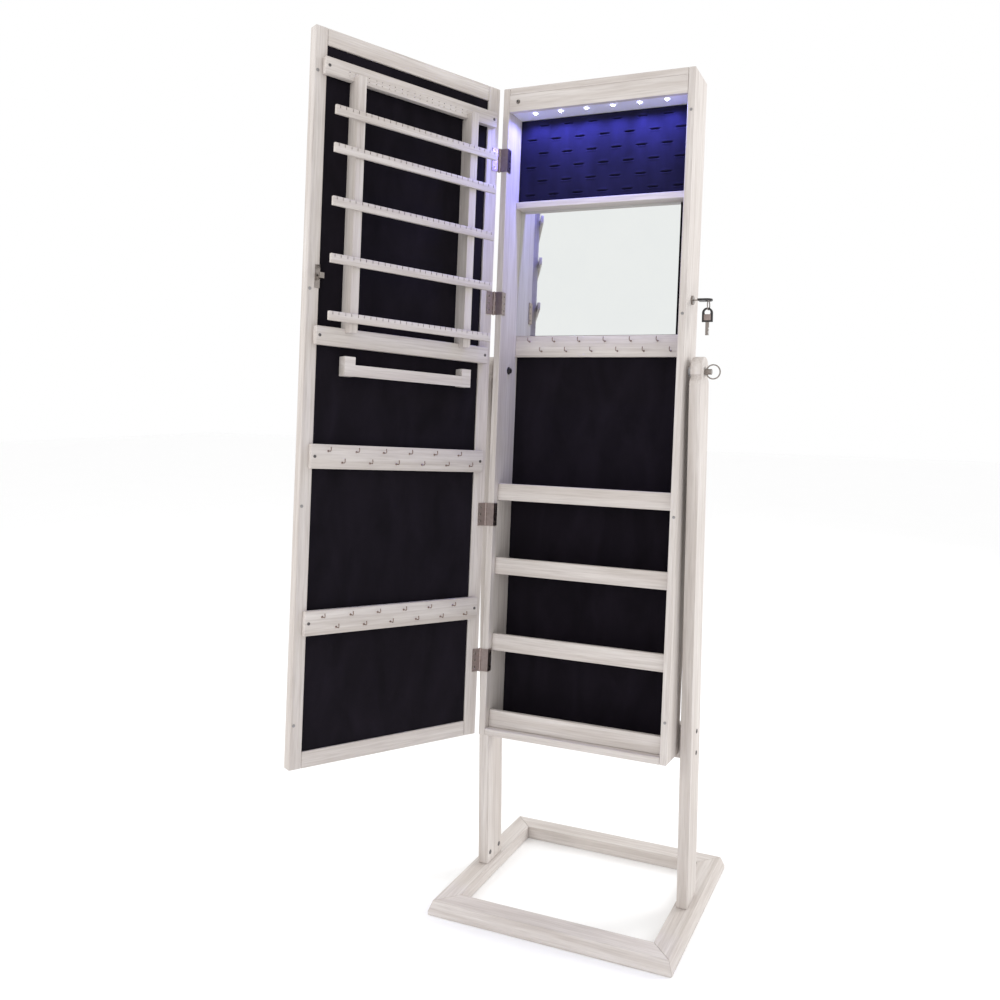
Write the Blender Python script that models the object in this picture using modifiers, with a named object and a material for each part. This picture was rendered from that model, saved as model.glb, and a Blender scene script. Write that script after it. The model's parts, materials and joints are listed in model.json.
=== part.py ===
"""Tilting jewelry armoire: a shallow mirrored-door cabinet between two posts on an open base.

Run with:  blender --background --python part.py

World frame: metres, +Z up, the front faces -Y.  The origin is on the floor, under the middle of
the base's front rail.

Stand frame: the same, moved back to the centre of the base, straight below the axis that the
cabinet tilts on.

Cabinet frame: x across from the middle, y from the front edges to the back, z up from the bottom.
The door is drawn closed in that frame, so its inner face looks along +y, and the hinge empty then
swings it open.
"""

import math

import bmesh
import bpy
from mathutils import Matrix, Vector

# ---- fits --------------------------------------------------------------------------------------
GAP = 0.0003                    # between pieces that touch
RUNNING = 0.0001                # round a shaft that turns or slides in a hole

# ---- base and posts ----------------------------------------------------------------------------
BASE_MARGIN = 0.0185             # base past each post's outer face
BASE_DEPTH = 0.382
BASE_HEIGHT = 0.025
BASE_RAIL = 0.045               # width of each base rail
BASE_SLOPE = 0.007              # how far the moulded outer face leans in
BASE_LIP = 0.006                # upright foot of the moulding
POST_THICKNESS = 0.020
POST_DEPTH = 0.060
POST_CLEARANCE = 0.0085         # between a post and the cabinet's side
PIVOT_HEIGHT = 0.986            # tilt axis above the floor
HEAD_RADIUS = 0.026             # rounded head of a post, centred on the tilt axis
NECK_DROP = 0.009               # neck of a post below the tilt axis
NECK_CUT = 0.005                # how deep the neck is cut in from the head
SHOULDER_DROP = 0.022           # where a post reaches its full depth below the tilt axis
STRETCHER_HEIGHT = 0.062
STRETCHER_THICKNESS = 0.020
STRETCHER_BOTTOM = 0.291
STOP_CLEARANCE = 0.0008         # cabinet's back to the stretcher that stops it

# ---- thumb-screws ------------------------------------------------------------------------------
SCREW_RADIUS = 0.003
SCREW_BOSS_RADIUS = 0.005
SCREW_BOSS_LENGTH = 0.012
SCREW_RING_RADIUS = 0.0122
SCREW_RING_WIRE = 0.0012
SCREW_RING_CENTRE = 0.0145      # ring's centre from the post's outer face
SCREW_END = 0.003               # past the cabinet's inner wall

# ---- cabinet -----------------------------------------------------------------------------------
CABINET_WIDTH = 0.364
CABINET_HEIGHT = 1.200
CABINET_DEPTH = 0.080
CABINET_BOARD = 0.0125
CABINET_TILT = math.radians(4.0)    # leans back at rest
PIVOT_UP = 0.683                # tilt axis above the cabinet's bottom
BACK_THICKNESS = 0.005
BACK_INSET = 0.0005
VALANCE_HEIGHT = 0.031
VALANCE_THICKNESS = 0.009
LIGHT_PANEL_LIFT = 0.002        # its underside above the valance's lower edge
RING_PAD_BOTTOM = 1.0025
RING_PAD_THICKNESS = 0.0222
LEDGE_THICKNESS = 0.012
LEDGE_DEPTH = 0.0302
WALL_PIECE_THICKNESS = 0.0082   # inner mirror and inner hook board
HOOK_BOARD_HEIGHT = 0.040
INNER_HOOK_BOARD_TOP = 0.752
INNER_MIRROR_MARGIN = 0.0225    # bare back board to the right of the inner mirror
TRAY_LIP_TOPS = (0.0445, 0.1880, 0.3315, 0.4700)
TRAY_LIP_HEIGHT = 0.031
TRAY_LIP_THICKNESS = 0.009
TRAY_LIP_FRONT = 0.015
SHELF_THICKNESS = 0.006

# ---- light switch ------------------------------------------------------------------------------
SWITCH_INSET = 0.0175           # from the cabinet's inner wall
SWITCH_DROP = 0.0132            # its middle below the valance's top
SWITCH_RADIUS = 0.003
SWITCH_PROUD = 0.0024

# ---- door --------------------------------------------------------------------------------------
DOOR_OPEN = math.radians(117.0)
DOOR_REVEAL = 0.0015            # cabinet shows past the door at its top and bottom
DOOR_THICKNESS = 0.019
DOOR_GAP = 0.003                # door's inner face to the cabinet's front edges when closed
DOOR_RAIL = 0.027
DOOR_FREE_STILE = 0.021
DOOR_HINGE_STILE = 0.025
LINED_BOARD_RECESS = 0.003
LINED_BOARD_THICKNESS = 0.004
MIRROR_RECESS = 0.002
MIRROR_THICKNESS = 0.004
DOOR_BOARD_CLEARANCE = 0.001    # door's cross boards to the cabinet's side walls when closed
DOOR_BOARD_THICKNESS = 0.012
HOOK_BOARD_THICKNESS = 0.010
EARRING_BOARD_Z = (1.122, 1.149)
LOWER_BOARD_Z = (0.690, 0.720)
DOOR_HOOK_BOARD_CENTRES = (0.510, 0.2395)

# ---- earring rack and bracelet holder on the door ----------------------------------------------
UPRIGHT_INSET = 0.0575          # from the ends of the boards above and below
UPRIGHT_WIDTH = 0.0145
UPRIGHT_REACH = 0.027           # front of the uprights from the door's inner face
UPRIGHT_LAP = 0.007             # how far they lap over the boards above and below
EARRING_BAR_CENTRES = (0.7355, 0.827, 0.918, 1.0025, 1.0625)
EARRING_BAR_HEIGHT = 0.0148
EARRING_BAR_THICKNESS = 0.006
EARRING_BAR_OVERHANG = 0.0397   # past each upright's middle line and half its width
BRACELET_BLOCK_X = ((-0.129, -0.110), (0.100, 0.119))
BRACELET_BLOCK_Z = (0.643, 0.675)
BRACELET_REACH = 0.017
BRACELET_BAR_Z = (0.6433, 0.662)
BRACELET_BAR_THICKNESS = 0.006

# ---- hooks -------------------------------------------------------------------------------------
HOOK_COUNT = 12
HOOK_MARGIN = 0.0293            # last hook to the board's end
HOOK_STAGGER = 0.0185           # between the upper and the lower row
HOOK_WIRE = 0.0012
HOOK_REACH = 0.013
HOOK_LIFT = 0.006

# ---- hinges ------------------------------------------------------------------------------------
HINGE_CENTRES = (0.140, 0.412, 0.804, 1.068)
KNUCKLE_COUNT = 5
KNUCKLE_LENGTH = 0.0082
KNUCKLE_GAP = 0.0004
KNUCKLE_RADIUS = 0.0026
HINGE_PIN_RADIUS = 0.0012
HINGE_BORE_RADIUS = HINGE_PIN_RADIUS + RUNNING
HINGE_SIDE = 0.003              # pin's axis outside the cabinet's side
LEAF_THICKNESS = 0.0010
LEAF_END_INSET = 0.0003         # plate's ends in from the outer knuckles' ends
TAB_INSET = 0.00015             # tabs between plate and knuckles, in from the faces round them
LEAF_CLEARANCE = 0.0002         # leaf's edge from the corner that the pin stands off
DOOR_LEAF_WIDTH = 0.013
FLANGE_DEPTH = 0.013            # cabinet leaf's return along the inner wall

# ---- lock and keys -----------------------------------------------------------------------------
LOCK_Y = 0.038
LOCK_Z = 0.8075
LOCK_FLANGE_RADIUS = 0.008
LOCK_FLANGE_THICKNESS = 0.0032
LOCK_BARREL_RADIUS = 0.0075
LOCK_BARREL_PROUD = 0.0035      # past the cabinet's inner wall
LOCK_BORE_RADIUS = 0.0044
PLUG_RADIUS = 0.0043
CAM_THICKNESS = 0.0016
CAM_WIDTH = 0.005
CAM_HOOK = 0.006                # how far its hook reaches past the arm
CAM_HOOK_WIDTH = 0.004
CAM_HOOK_Y = 0.0055             # its hook's front when locked, from the cabinet's front edges
KEY_THICKNESS = 0.0032
KEY_BOW_START = 0.012
KEY_BOW_LENGTH = 0.025
KEY_BOW_WIDTH = 0.019
KEY_BOW_RIM = 0.003
KEY_BLADE_LENGTH = 0.023
KEY_BLADE_WIDTH = 0.0064
KEY_BLADE_THICKNESS = 0.0020
SPARE_KEY_X = 0.0285            # spare key's middle from the cabinet's side
SPARE_KEY_DROP = 0.0130         # top of its bow below the lock's axis, clear of the turning key
STRIKE_WIDTH = 0.008
STRIKE_HEIGHT = 0.037
STRIKE_NOSE = 0.003             # tongue's thickness in front of and below the slot
STRIKE_CLEARANCE = 0.0008       # round the locked cam

# ---- soft edges --------------------------------------------------------------------------------
WOOD_EDGE = 0.0009

# ---- derived places ----------------------------------------------------------------------------
HALF_CABINET = CABINET_WIDTH / 2
INNER_HALF = HALF_CABINET - CABINET_BOARD
BACK_FRONT = CABINET_DEPTH - BACK_INSET - BACK_THICKNESS
WALL_PIECE_BACK = BACK_FRONT - GAP
WALL_PIECE_FRONT = WALL_PIECE_BACK - WALL_PIECE_THICKNESS
RING_PAD_FRONT = WALL_PIECE_BACK - RING_PAD_THICKNESS
LEDGE_FRONT = WALL_PIECE_BACK - LEDGE_DEPTH
INNER_MIRROR_RIGHT = INNER_HALF - INNER_MIRROR_MARGIN
SWITCH_X = SWITCH_INSET - INNER_HALF
VALANCE_TOP = CABINET_HEIGHT - CABINET_BOARD - GAP
VALANCE_BOTTOM = VALANCE_TOP - VALANCE_HEIGHT
SWITCH_Z = VALANCE_TOP - SWITCH_DROP
LIGHT_PANEL_BOTTOM = VALANCE_BOTTOM + LIGHT_PANEL_LIFT
DOOR_BOTTOM = DOOR_REVEAL
DOOR_TOP = CABINET_HEIGHT - DOOR_REVEAL
DOOR_INNER = -DOOR_GAP
DOOR_OUTER = -DOOR_GAP - DOOR_THICKNESS
DOOR_BOARD_HALF = INNER_HALF - DOOR_BOARD_CLEARANCE
UPRIGHT_X = DOOR_BOARD_HALF - UPRIGHT_INSET
EARRING_BAR_LENGTH = 2 * (UPRIGHT_X + UPRIGHT_WIDTH / 2 + EARRING_BAR_OVERHANG)
HOOK_SPACING = 2 * (DOOR_BOARD_HALF - HOOK_MARGIN) / (HOOK_COUNT - 1)
LINING_FACE = DOOR_INNER - LINED_BOARD_RECESS
PIN_X = -HALF_CABINET - HINGE_SIDE
PIN_Y = -DOOR_GAP / 2
POST_INNER = HALF_CABINET + POST_CLEARANCE
POST_OUTER = POST_INNER + POST_THICKNESS
BASE_WIDTH = 2 * (POST_OUTER + BASE_MARGIN)
STRETCHER_TOP = STRETCHER_BOTTOM + STRETCHER_HEIGHT
BACK_AT_STRETCHER_TOP = (CABINET_DEPTH / 2 / math.cos(CABINET_TILT)
                         - (PIVOT_HEIGHT - STRETCHER_TOP) * math.tan(CABINET_TILT))
STRETCHER_FRONT = BACK_AT_STRETCHER_TOP + STOP_CLEARANCE
STAND_Y = (BASE_DEPTH - BASE_RAIL) / 2
CAM_ARM = LOCK_Y - CAM_HOOK_Y
STRIKE_SLOT_FLOOR = LOCK_Z - CAM_WIDTH / 2 - CAM_HOOK - STRIKE_CLEARANCE
STRIKE_TONGUE_Z = (STRIKE_SLOT_FLOOR - STRIKE_NOSE, LOCK_Z - CAM_WIDTH / 2 - STRIKE_CLEARANCE)
STRIKE_SLOT_Y = (CAM_HOOK_Y - 4 * STRIKE_CLEARANCE, CAM_HOOK_Y + CAM_HOOK_WIDTH + 2 * STRIKE_CLEARANCE)


# ---- scene -------------------------------------------------------------------------------------
def clear_scene():
    for old in list(bpy.data.objects):
        bpy.data.objects.remove(old, do_unlink=True)


def make_collection(name):
    collection = bpy.data.collections.new(name)
    bpy.context.scene.collection.children.link(collection)
    return collection


def make_material(name, colour, roughness, metallic=0.0):
    material = bpy.data.materials.new(name)
    material.use_nodes = True
    shader = material.node_tree.nodes["Principled BSDF"]
    shader.inputs["Base Color"].default_value = (*colour, 1.0)
    shader.inputs["Roughness"].default_value = roughness
    shader.inputs["Metallic"].default_value = metallic
    return material


clear_scene()
PARTS = make_collection("jewelry_armoire")
CUTTERS = make_collection("cutters")

WHITEWASHED_WOOD = make_material("whitewashed_wood", (0.78, 0.76, 0.73), 0.55)
BLACK_VELVET = make_material("black_velvet", (0.012, 0.010, 0.020), 0.95)
SILVERED_GLASS = make_material("silvered_glass", (0.90, 0.92, 0.93), 0.03, 1.0)
NICKEL = make_material("nickel", (0.62, 0.59, 0.55), 0.28, 1.0)
BRONZED_STEEL = make_material("bronzed_steel", (0.20, 0.16, 0.17), 0.38, 1.0)
LAMP_PLASTIC = make_material("lamp_plastic", (0.80, 0.80, 0.86), 0.45)
KEY_PLASTIC = make_material("key_plastic", (0.05, 0.035, 0.03), 0.40)


def empty(name, parent=None, location=(0, 0, 0), rotation=(0, 0, 0)):
    frame = bpy.data.objects.new(name, None)
    frame.location = location
    frame.rotation_euler = rotation
    frame.parent = parent
    PARTS.objects.link(frame)
    return frame


def finish(name, bm, material, parent=None, location=(0, 0, 0), edge=0.0, smooth=False):
    """Turn a bmesh into a named piece, with its sharp edges softened by `edge`."""
    bmesh.ops.recalc_face_normals(bm, faces=bm.faces)
    mesh = bpy.data.meshes.new(name)
    bm.to_mesh(mesh)
    bm.free()
    piece = bpy.data.objects.new(name, mesh)
    piece.location = location
    piece.parent = parent
    mesh.materials.append(material)
    PARTS.objects.link(piece)
    if smooth:
        mesh.shade_smooth()
        mesh.set_sharp_from_angle(angle=math.radians(35))
    if edge > 0:
        bevel = piece.modifiers.new("soft_edges", "BEVEL")
        bevel.width = edge
        bevel.segments = 1
        bevel.limit_method = "ANGLE"
        bevel.angle_limit = math.radians(40)
    return piece


def tool(name, bm, parent=None, location=(0, 0, 0)):
    """A shape that a Boolean adds or takes away; it isn't a piece itself."""
    bmesh.ops.recalc_face_normals(bm, faces=bm.faces)
    mesh = bpy.data.meshes.new(name)
    bm.to_mesh(mesh)
    bm.free()
    cutter = bpy.data.objects.new(name, mesh)
    cutter.location = location
    cutter.parent = parent
    cutter.hide_render = True
    cutter.display_type = "WIRE"
    CUTTERS.objects.link(cutter)
    return cutter


def boolean(piece, cutter, operation):
    step = piece.modifiers.new(cutter.name, "BOOLEAN")
    step.operation = operation
    step.solver = "EXACT"
    step.object = cutter


def cut(piece, cutter):
    boolean(piece, cutter, "DIFFERENCE")


def join(piece, addition):
    boolean(piece, addition, "UNION")


# ---- shapes ------------------------------------------------------------------------------------
def add_box(bm, low, high):
    low, high = Vector(low), Vector(high)
    size = high - low
    place = Matrix.Translation((low + high) / 2) @ Matrix.Diagonal((*size, 1.0))
    bmesh.ops.create_cube(bm, size=1.0, matrix=place)


def add_rod(bm, start, end, radius, sides=24):
    """A round rod between two points."""
    start, end = Vector(start), Vector(end)
    along = end - start
    turn = along.to_track_quat("Z", "Y").to_matrix().to_4x4()
    place = Matrix.Translation((start + end) / 2) @ turn
    bmesh.ops.create_cone(bm, cap_ends=True, segments=sides, radius1=radius, radius2=radius,
                          depth=along.length, matrix=place)


def box_mesh(low, high):
    bm = bmesh.new()
    add_box(bm, low, high)
    return bm


def rod_mesh(start, end, radius, sides=24):
    bm = bmesh.new()
    add_rod(bm, start, end, radius, sides)
    return bm


def prism_mesh(outline, axis, start, end):
    """An outline swept along one axis.  Its two values are the other two axes, in x, y, z order."""
    bm = bmesh.new()
    corners = []
    for first, second in outline:
        place = [first, second]
        place.insert(axis, start)
        corners.append(bm.verts.new(place))
    face = bm.faces.new(corners)
    swept = bmesh.ops.extrude_face_region(bm, geom=[face])
    moved = [item for item in swept["geom"] if isinstance(item, bmesh.types.BMVert)]
    travel = [0.0, 0.0, 0.0]
    travel[axis] = end - start
    bmesh.ops.translate(bm, verts=moved, vec=travel)
    return bm


def arc(centre, radius, start_degrees, end_degrees, steps):
    points = []
    for step in range(steps + 1):
        angle = math.radians(start_degrees + (end_degrees - start_degrees) * step / steps)
        points.append((centre[0] + radius * math.cos(angle), centre[1] + radius * math.sin(angle)))
    return points


def board(name, low, high, parent, material=WHITEWASHED_WOOD, edge=WOOD_EDGE):
    """A flat piece with softened edges, placed by its middle."""
    low, high = Vector(low), Vector(high)
    middle = (low + high) / 2
    return finish(name, box_mesh(low - middle, high - middle), material, parent, middle, edge)


# ---- base --------------------------------------------------------------------------------------
def rail_profile():
    """Section of a base rail: distance in from its outer face, and height."""
    return ((0, 0), (0, BASE_LIP), (BASE_SLOPE, BASE_HEIGHT), (BASE_RAIL, BASE_HEIGHT), (BASE_RAIL, 0))


def base_rail(name, length, spread, turn, stand):
    """One moulded base rail with mitred ends, turned into its place round the base."""
    outline = [(inward - spread, height) for inward, height in rail_profile()]
    bm = prism_mesh(outline, 0, -length / 2, length / 2)
    for side in (-1, 1):
        corner = Vector((side * (length / 2 - GAP / 2), -spread, 0))
        normal = Vector((side, 1, 0)).normalized()
        geom = bm.verts[:] + bm.edges[:] + bm.faces[:]
        sliced = bmesh.ops.bisect_plane(bm, geom=geom, plane_co=corner, plane_no=normal,
                                        clear_outer=True)
        rim = [item for item in sliced["geom_cut"] if isinstance(item, bmesh.types.BMEdge)]
        bmesh.ops.edgenet_fill(bm, edges=rim)
    rail = finish(name, bm, WHITEWASHED_WOOD, stand, (0, 0, 0), WOOD_EDGE)
    rail.rotation_euler = (0, 0, turn)
    return rail


def post_outline():
    """Side view of a post, y and z: a straight board with a necked, rounded head."""
    half = POST_DEPTH / 2
    neck = HEAD_RADIUS - NECK_CUT
    foot = BASE_HEIGHT + GAP
    low_angle = -math.degrees(math.asin(NECK_DROP / 2 / HEAD_RADIUS))
    right = [(half, foot), (half, PIVOT_HEIGHT - SHOULDER_DROP)]
    right.append((half - 0.002, PIVOT_HEIGHT - SHOULDER_DROP + 0.006))
    right.append((neck + 0.0015, PIVOT_HEIGHT - NECK_DROP - 0.002))
    right.append((neck, PIVOT_HEIGHT - NECK_DROP))
    head = arc((0, PIVOT_HEIGHT), HEAD_RADIUS, low_angle, 180 - low_angle, 24)
    left = [(-y, z) for y, z in reversed(right)]
    return right + head + left


def post(name, side, stand):
    inner, outer = sorted((side * POST_INNER, side * POST_OUTER))
    piece = finish(name, prism_mesh(post_outline(), 0, inner, outer), WHITEWASHED_WOOD, stand,
                   edge=WOOD_EDGE)
    hole = rod_mesh((inner - 0.01, 0, PIVOT_HEIGHT), (outer + 0.01, 0, PIVOT_HEIGHT),
                    SCREW_RADIUS + RUNNING)
    cut(piece, tool(name + "_screw_hole", hole, stand))
    return piece


def thumb_screw(name, side, stand):
    """Ring-headed screw that clamps the cabinet to a post, on the tilt axis."""
    frame = empty(name + "_axis", stand, (side * POST_OUTER, 0, PIVOT_HEIGHT))
    inside = -(POST_THICKNESS + POST_CLEARANCE + CABINET_BOARD + SCREW_END)
    screw = finish(name, rod_mesh((side * inside, 0, 0), (side * GAP * 2, 0, 0), SCREW_RADIUS),
                   NICKEL, frame, smooth=True)
    boss = rod_mesh((side * GAP, 0, 0), (side * SCREW_BOSS_LENGTH, 0, 0), SCREW_BOSS_RADIUS)
    join(screw, tool(name + "_boss", boss, frame))
    ring = bmesh.new()
    bmesh.ops.create_circle(ring, segments=10, radius=SCREW_RING_WIRE,
                            matrix=Matrix.Translation((SCREW_RING_RADIUS, 0, 0)))
    bmesh.ops.spin(ring, geom=ring.verts[:] + ring.edges[:], angle=math.tau, steps=32,
                   axis=(0, 1, 0), cent=(0, 0, 0), use_merge=True)
    bmesh.ops.remove_doubles(ring, verts=ring.verts, dist=1e-6)
    bmesh.ops.translate(ring, verts=ring.verts, vec=(side * SCREW_RING_CENTRE, 0, 0))
    join(screw, tool(name + "_ring", ring, frame))
    return screw


def build_base(stand):
    half_depth, half_width = BASE_DEPTH / 2, BASE_WIDTH / 2
    base_rail("base_rail_front", BASE_WIDTH, half_depth, 0, stand)
    base_rail("base_rail_right", BASE_DEPTH, half_width, math.pi / 2, stand)
    base_rail("base_rail_back", BASE_WIDTH, half_depth, math.pi, stand)
    base_rail("base_rail_left", BASE_DEPTH, half_width, -math.pi / 2, stand)
    for name, side in (("left", -1), ("right", 1)):
        post("post_" + name, side, stand)
        thumb_screw("thumb_screw_" + name, side, stand)
    reach = POST_INNER - GAP
    board("post_stretcher", (-reach, STRETCHER_FRONT, STRETCHER_BOTTOM),
          (reach, STRETCHER_FRONT + STRETCHER_THICKNESS, STRETCHER_TOP), stand)


# ---- hooks -------------------------------------------------------------------------------------
def add_hooks(piece, face_y, out, centre_z, parent):
    """Two staggered rows of upturned hooks on a board, the first on its left in the upper row."""
    pegs, tips = bmesh.new(), bmesh.new()
    for index in range(HOOK_COUNT):
        x = (index - (HOOK_COUNT - 1) / 2) * HOOK_SPACING
        from_left = index if out < 0 else HOOK_COUNT - 1 - index
        z = centre_z + HOOK_STAGGER / 2 * (1 if from_left % 2 == 0 else -1)
        end = face_y + out * HOOK_REACH
        add_rod(pegs, (x, face_y - out * 0.002, z), (x, end, z), HOOK_WIRE, 8)
        add_rod(tips, (x, end - out * HOOK_WIRE, z - HOOK_WIRE * 0.5),
                (x, end - out * HOOK_WIRE, z + HOOK_LIFT), HOOK_WIRE * 0.9, 8)
    join(piece, tool(piece.name + "_pegs", pegs, parent))
    join(piece, tool(piece.name + "_tips", tips, parent))


def plain_board(name, low, high, parent, material=WHITEWASHED_WOOD):
    """A board whose mesh stays in its parent's frame, for Booleans that follow."""
    return finish(name, box_mesh(low, high), material, parent)


# ---- cabinet -----------------------------------------------------------------------------------
def build_carcase(cabinet):
    across = INNER_HALF - GAP
    for name, side in (("left", -1), ("right", 1)):
        low, high = sorted((side * INNER_HALF, side * HALF_CABINET))
        wall = finish("cabinet_side_" + name, box_mesh((low, 0, 0), (high, CABINET_DEPTH, CABINET_HEIGHT)),
                      WHITEWASHED_WOOD, cabinet, edge=WOOD_EDGE)
        hole = rod_mesh((low - 0.01, CABINET_DEPTH / 2, PIVOT_UP), (high + 0.01, CABINET_DEPTH / 2, PIVOT_UP),
                        SCREW_RADIUS + RUNNING)
        cut(wall, tool("pivot_hole_" + name, hole, cabinet))
        if side > 0:
            bore = rod_mesh((low - 0.01, LOCK_Y, LOCK_Z), (high + 0.01, LOCK_Y, LOCK_Z),
                            LOCK_BARREL_RADIUS + GAP)
            cut(wall, tool("lock_hole", bore, cabinet))
    board("cabinet_top", (-across, 0, CABINET_HEIGHT - CABINET_BOARD),
          (across, CABINET_DEPTH, CABINET_HEIGHT), cabinet)
    board("cabinet_bottom", (-across, 0, 0), (across, CABINET_DEPTH, CABINET_BOARD), cabinet)
    board("cabinet_back", (-across, BACK_FRONT, CABINET_BOARD + GAP),
          (across, BACK_FRONT + BACK_THICKNESS, CABINET_HEIGHT - CABINET_BOARD - GAP), cabinet, edge=0)


def build_lighting(cabinet):
    across = INNER_HALF - GAP
    valance = plain_board("light_valance", (-across, 0, VALANCE_BOTTOM),
                          (across, VALANCE_THICKNESS, VALANCE_TOP), cabinet)
    hole = rod_mesh((SWITCH_X, -0.01, SWITCH_Z), (SWITCH_X, VALANCE_THICKNESS + 0.01, SWITCH_Z),
                    SWITCH_RADIUS + RUNNING)
    cut(valance, tool("switch_hole", hole, cabinet))
    panel = plain_board("light_panel", (-across, VALANCE_THICKNESS + GAP, LIGHT_PANEL_BOTTOM),
                        (across, WALL_PIECE_BACK, VALANCE_TOP), cabinet, LAMP_PLASTIC)
    pocket = rod_mesh((SWITCH_X, VALANCE_THICKNESS - 0.01, SWITCH_Z),
                      (SWITCH_X, VALANCE_THICKNESS + 0.008, SWITCH_Z), SWITCH_RADIUS + RUNNING)
    cut(panel, tool("switch_pocket", pocket, cabinet))
    slide = empty("light_switch_slide", cabinet, (SWITCH_X, 0, SWITCH_Z))
    finish("light_switch_plunger", rod_mesh((0, -SWITCH_PROUD, 0), (0, VALANCE_THICKNESS + 0.004, 0),
                                            SWITCH_RADIUS), NICKEL, slide, smooth=True)


def build_interior(cabinet):
    across = INNER_HALF - GAP
    board("ring_ledge", (-across, LEDGE_FRONT, RING_PAD_BOTTOM - GAP - LEDGE_THICKNESS),
          (across, WALL_PIECE_BACK, RING_PAD_BOTTOM - GAP), cabinet)
    board("ring_pad", (-across, RING_PAD_FRONT, RING_PAD_BOTTOM),
          (across, WALL_PIECE_BACK, LIGHT_PANEL_BOTTOM - GAP), cabinet, BLACK_VELVET, 0)
    mirror_top = RING_PAD_BOTTOM - 2 * GAP - LEDGE_THICKNESS
    board("inner_mirror", (-across, WALL_PIECE_FRONT, INNER_HOOK_BOARD_TOP + GAP),
          (INNER_MIRROR_RIGHT, WALL_PIECE_BACK, mirror_top), cabinet, SILVERED_GLASS, 0)
    low_z = INNER_HOOK_BOARD_TOP - HOOK_BOARD_HEIGHT
    hook_board = plain_board("inner_hook_board", (-across, WALL_PIECE_FRONT, low_z),
                             (across, WALL_PIECE_BACK, INNER_HOOK_BOARD_TOP), cabinet)
    add_hooks(hook_board, WALL_PIECE_FRONT, -1, (low_z + INNER_HOOK_BOARD_TOP) / 2, cabinet)
    shelf_front = TRAY_LIP_FRONT + TRAY_LIP_THICKNESS + GAP
    for number, top in enumerate(TRAY_LIP_TOPS, 1):
        low_z = CABINET_BOARD + GAP if number == 1 else top - TRAY_LIP_HEIGHT
        board("tray_lip_%d" % number, (-across, TRAY_LIP_FRONT, low_z),
              (across, TRAY_LIP_FRONT + TRAY_LIP_THICKNESS, top), cabinet)
        if number > 1:
            board("shelf_%d" % number, (-across, shelf_front, low_z),
                  (across, WALL_PIECE_BACK, low_z + SHELF_THICKNESS), cabinet)


# ---- door --------------------------------------------------------------------------------------
def build_door_frame(door):
    left, right = -HALF_CABINET, HALF_CABINET
    opening_left, opening_right = left + DOOR_HINGE_STILE, right - DOOR_FREE_STILE
    board("door_hinge_stile", (left, DOOR_OUTER, DOOR_BOTTOM), (opening_left, DOOR_INNER, DOOR_TOP), door)
    board("door_free_stile", (opening_right, DOOR_OUTER, DOOR_BOTTOM), (right, DOOR_INNER, DOOR_TOP), door)
    rail_left, rail_right = opening_left + GAP, opening_right - GAP
    board("door_top_rail", (rail_left, DOOR_OUTER, DOOR_TOP - DOOR_RAIL),
          (rail_right, DOOR_INNER, DOOR_TOP), door)
    board("door_bottom_rail", (rail_left, DOOR_OUTER, DOOR_BOTTOM),
          (rail_right, DOOR_INNER, DOOR_BOTTOM + DOOR_RAIL), door)
    low_z, high_z = DOOR_BOTTOM + DOOR_RAIL + GAP, DOOR_TOP - DOOR_RAIL - GAP
    board("door_mirror", (rail_left, DOOR_OUTER + MIRROR_RECESS, low_z),
          (rail_right, DOOR_OUTER + MIRROR_RECESS + MIRROR_THICKNESS, high_z), door, SILVERED_GLASS, 0)
    board("door_lined_board", (rail_left, LINING_FACE - LINED_BOARD_THICKNESS, low_z),
          (rail_right, LINING_FACE, high_z), door, BLACK_VELVET, 0)


def upright_outline(seat, board_front):
    """Side view of a rack upright, y and z, lapped over the boards above and below it."""
    front = DOOR_INNER + UPRIGHT_REACH
    low, high = LOWER_BOARD_Z[1], EARRING_BOARD_Z[0]
    return ((seat, low + GAP), (board_front, low + GAP), (board_front, low - UPRIGHT_LAP),
            (front, low - UPRIGHT_LAP), (front, high + UPRIGHT_LAP), (board_front, high + UPRIGHT_LAP),
            (board_front, high - GAP), (seat, high - GAP))


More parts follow.
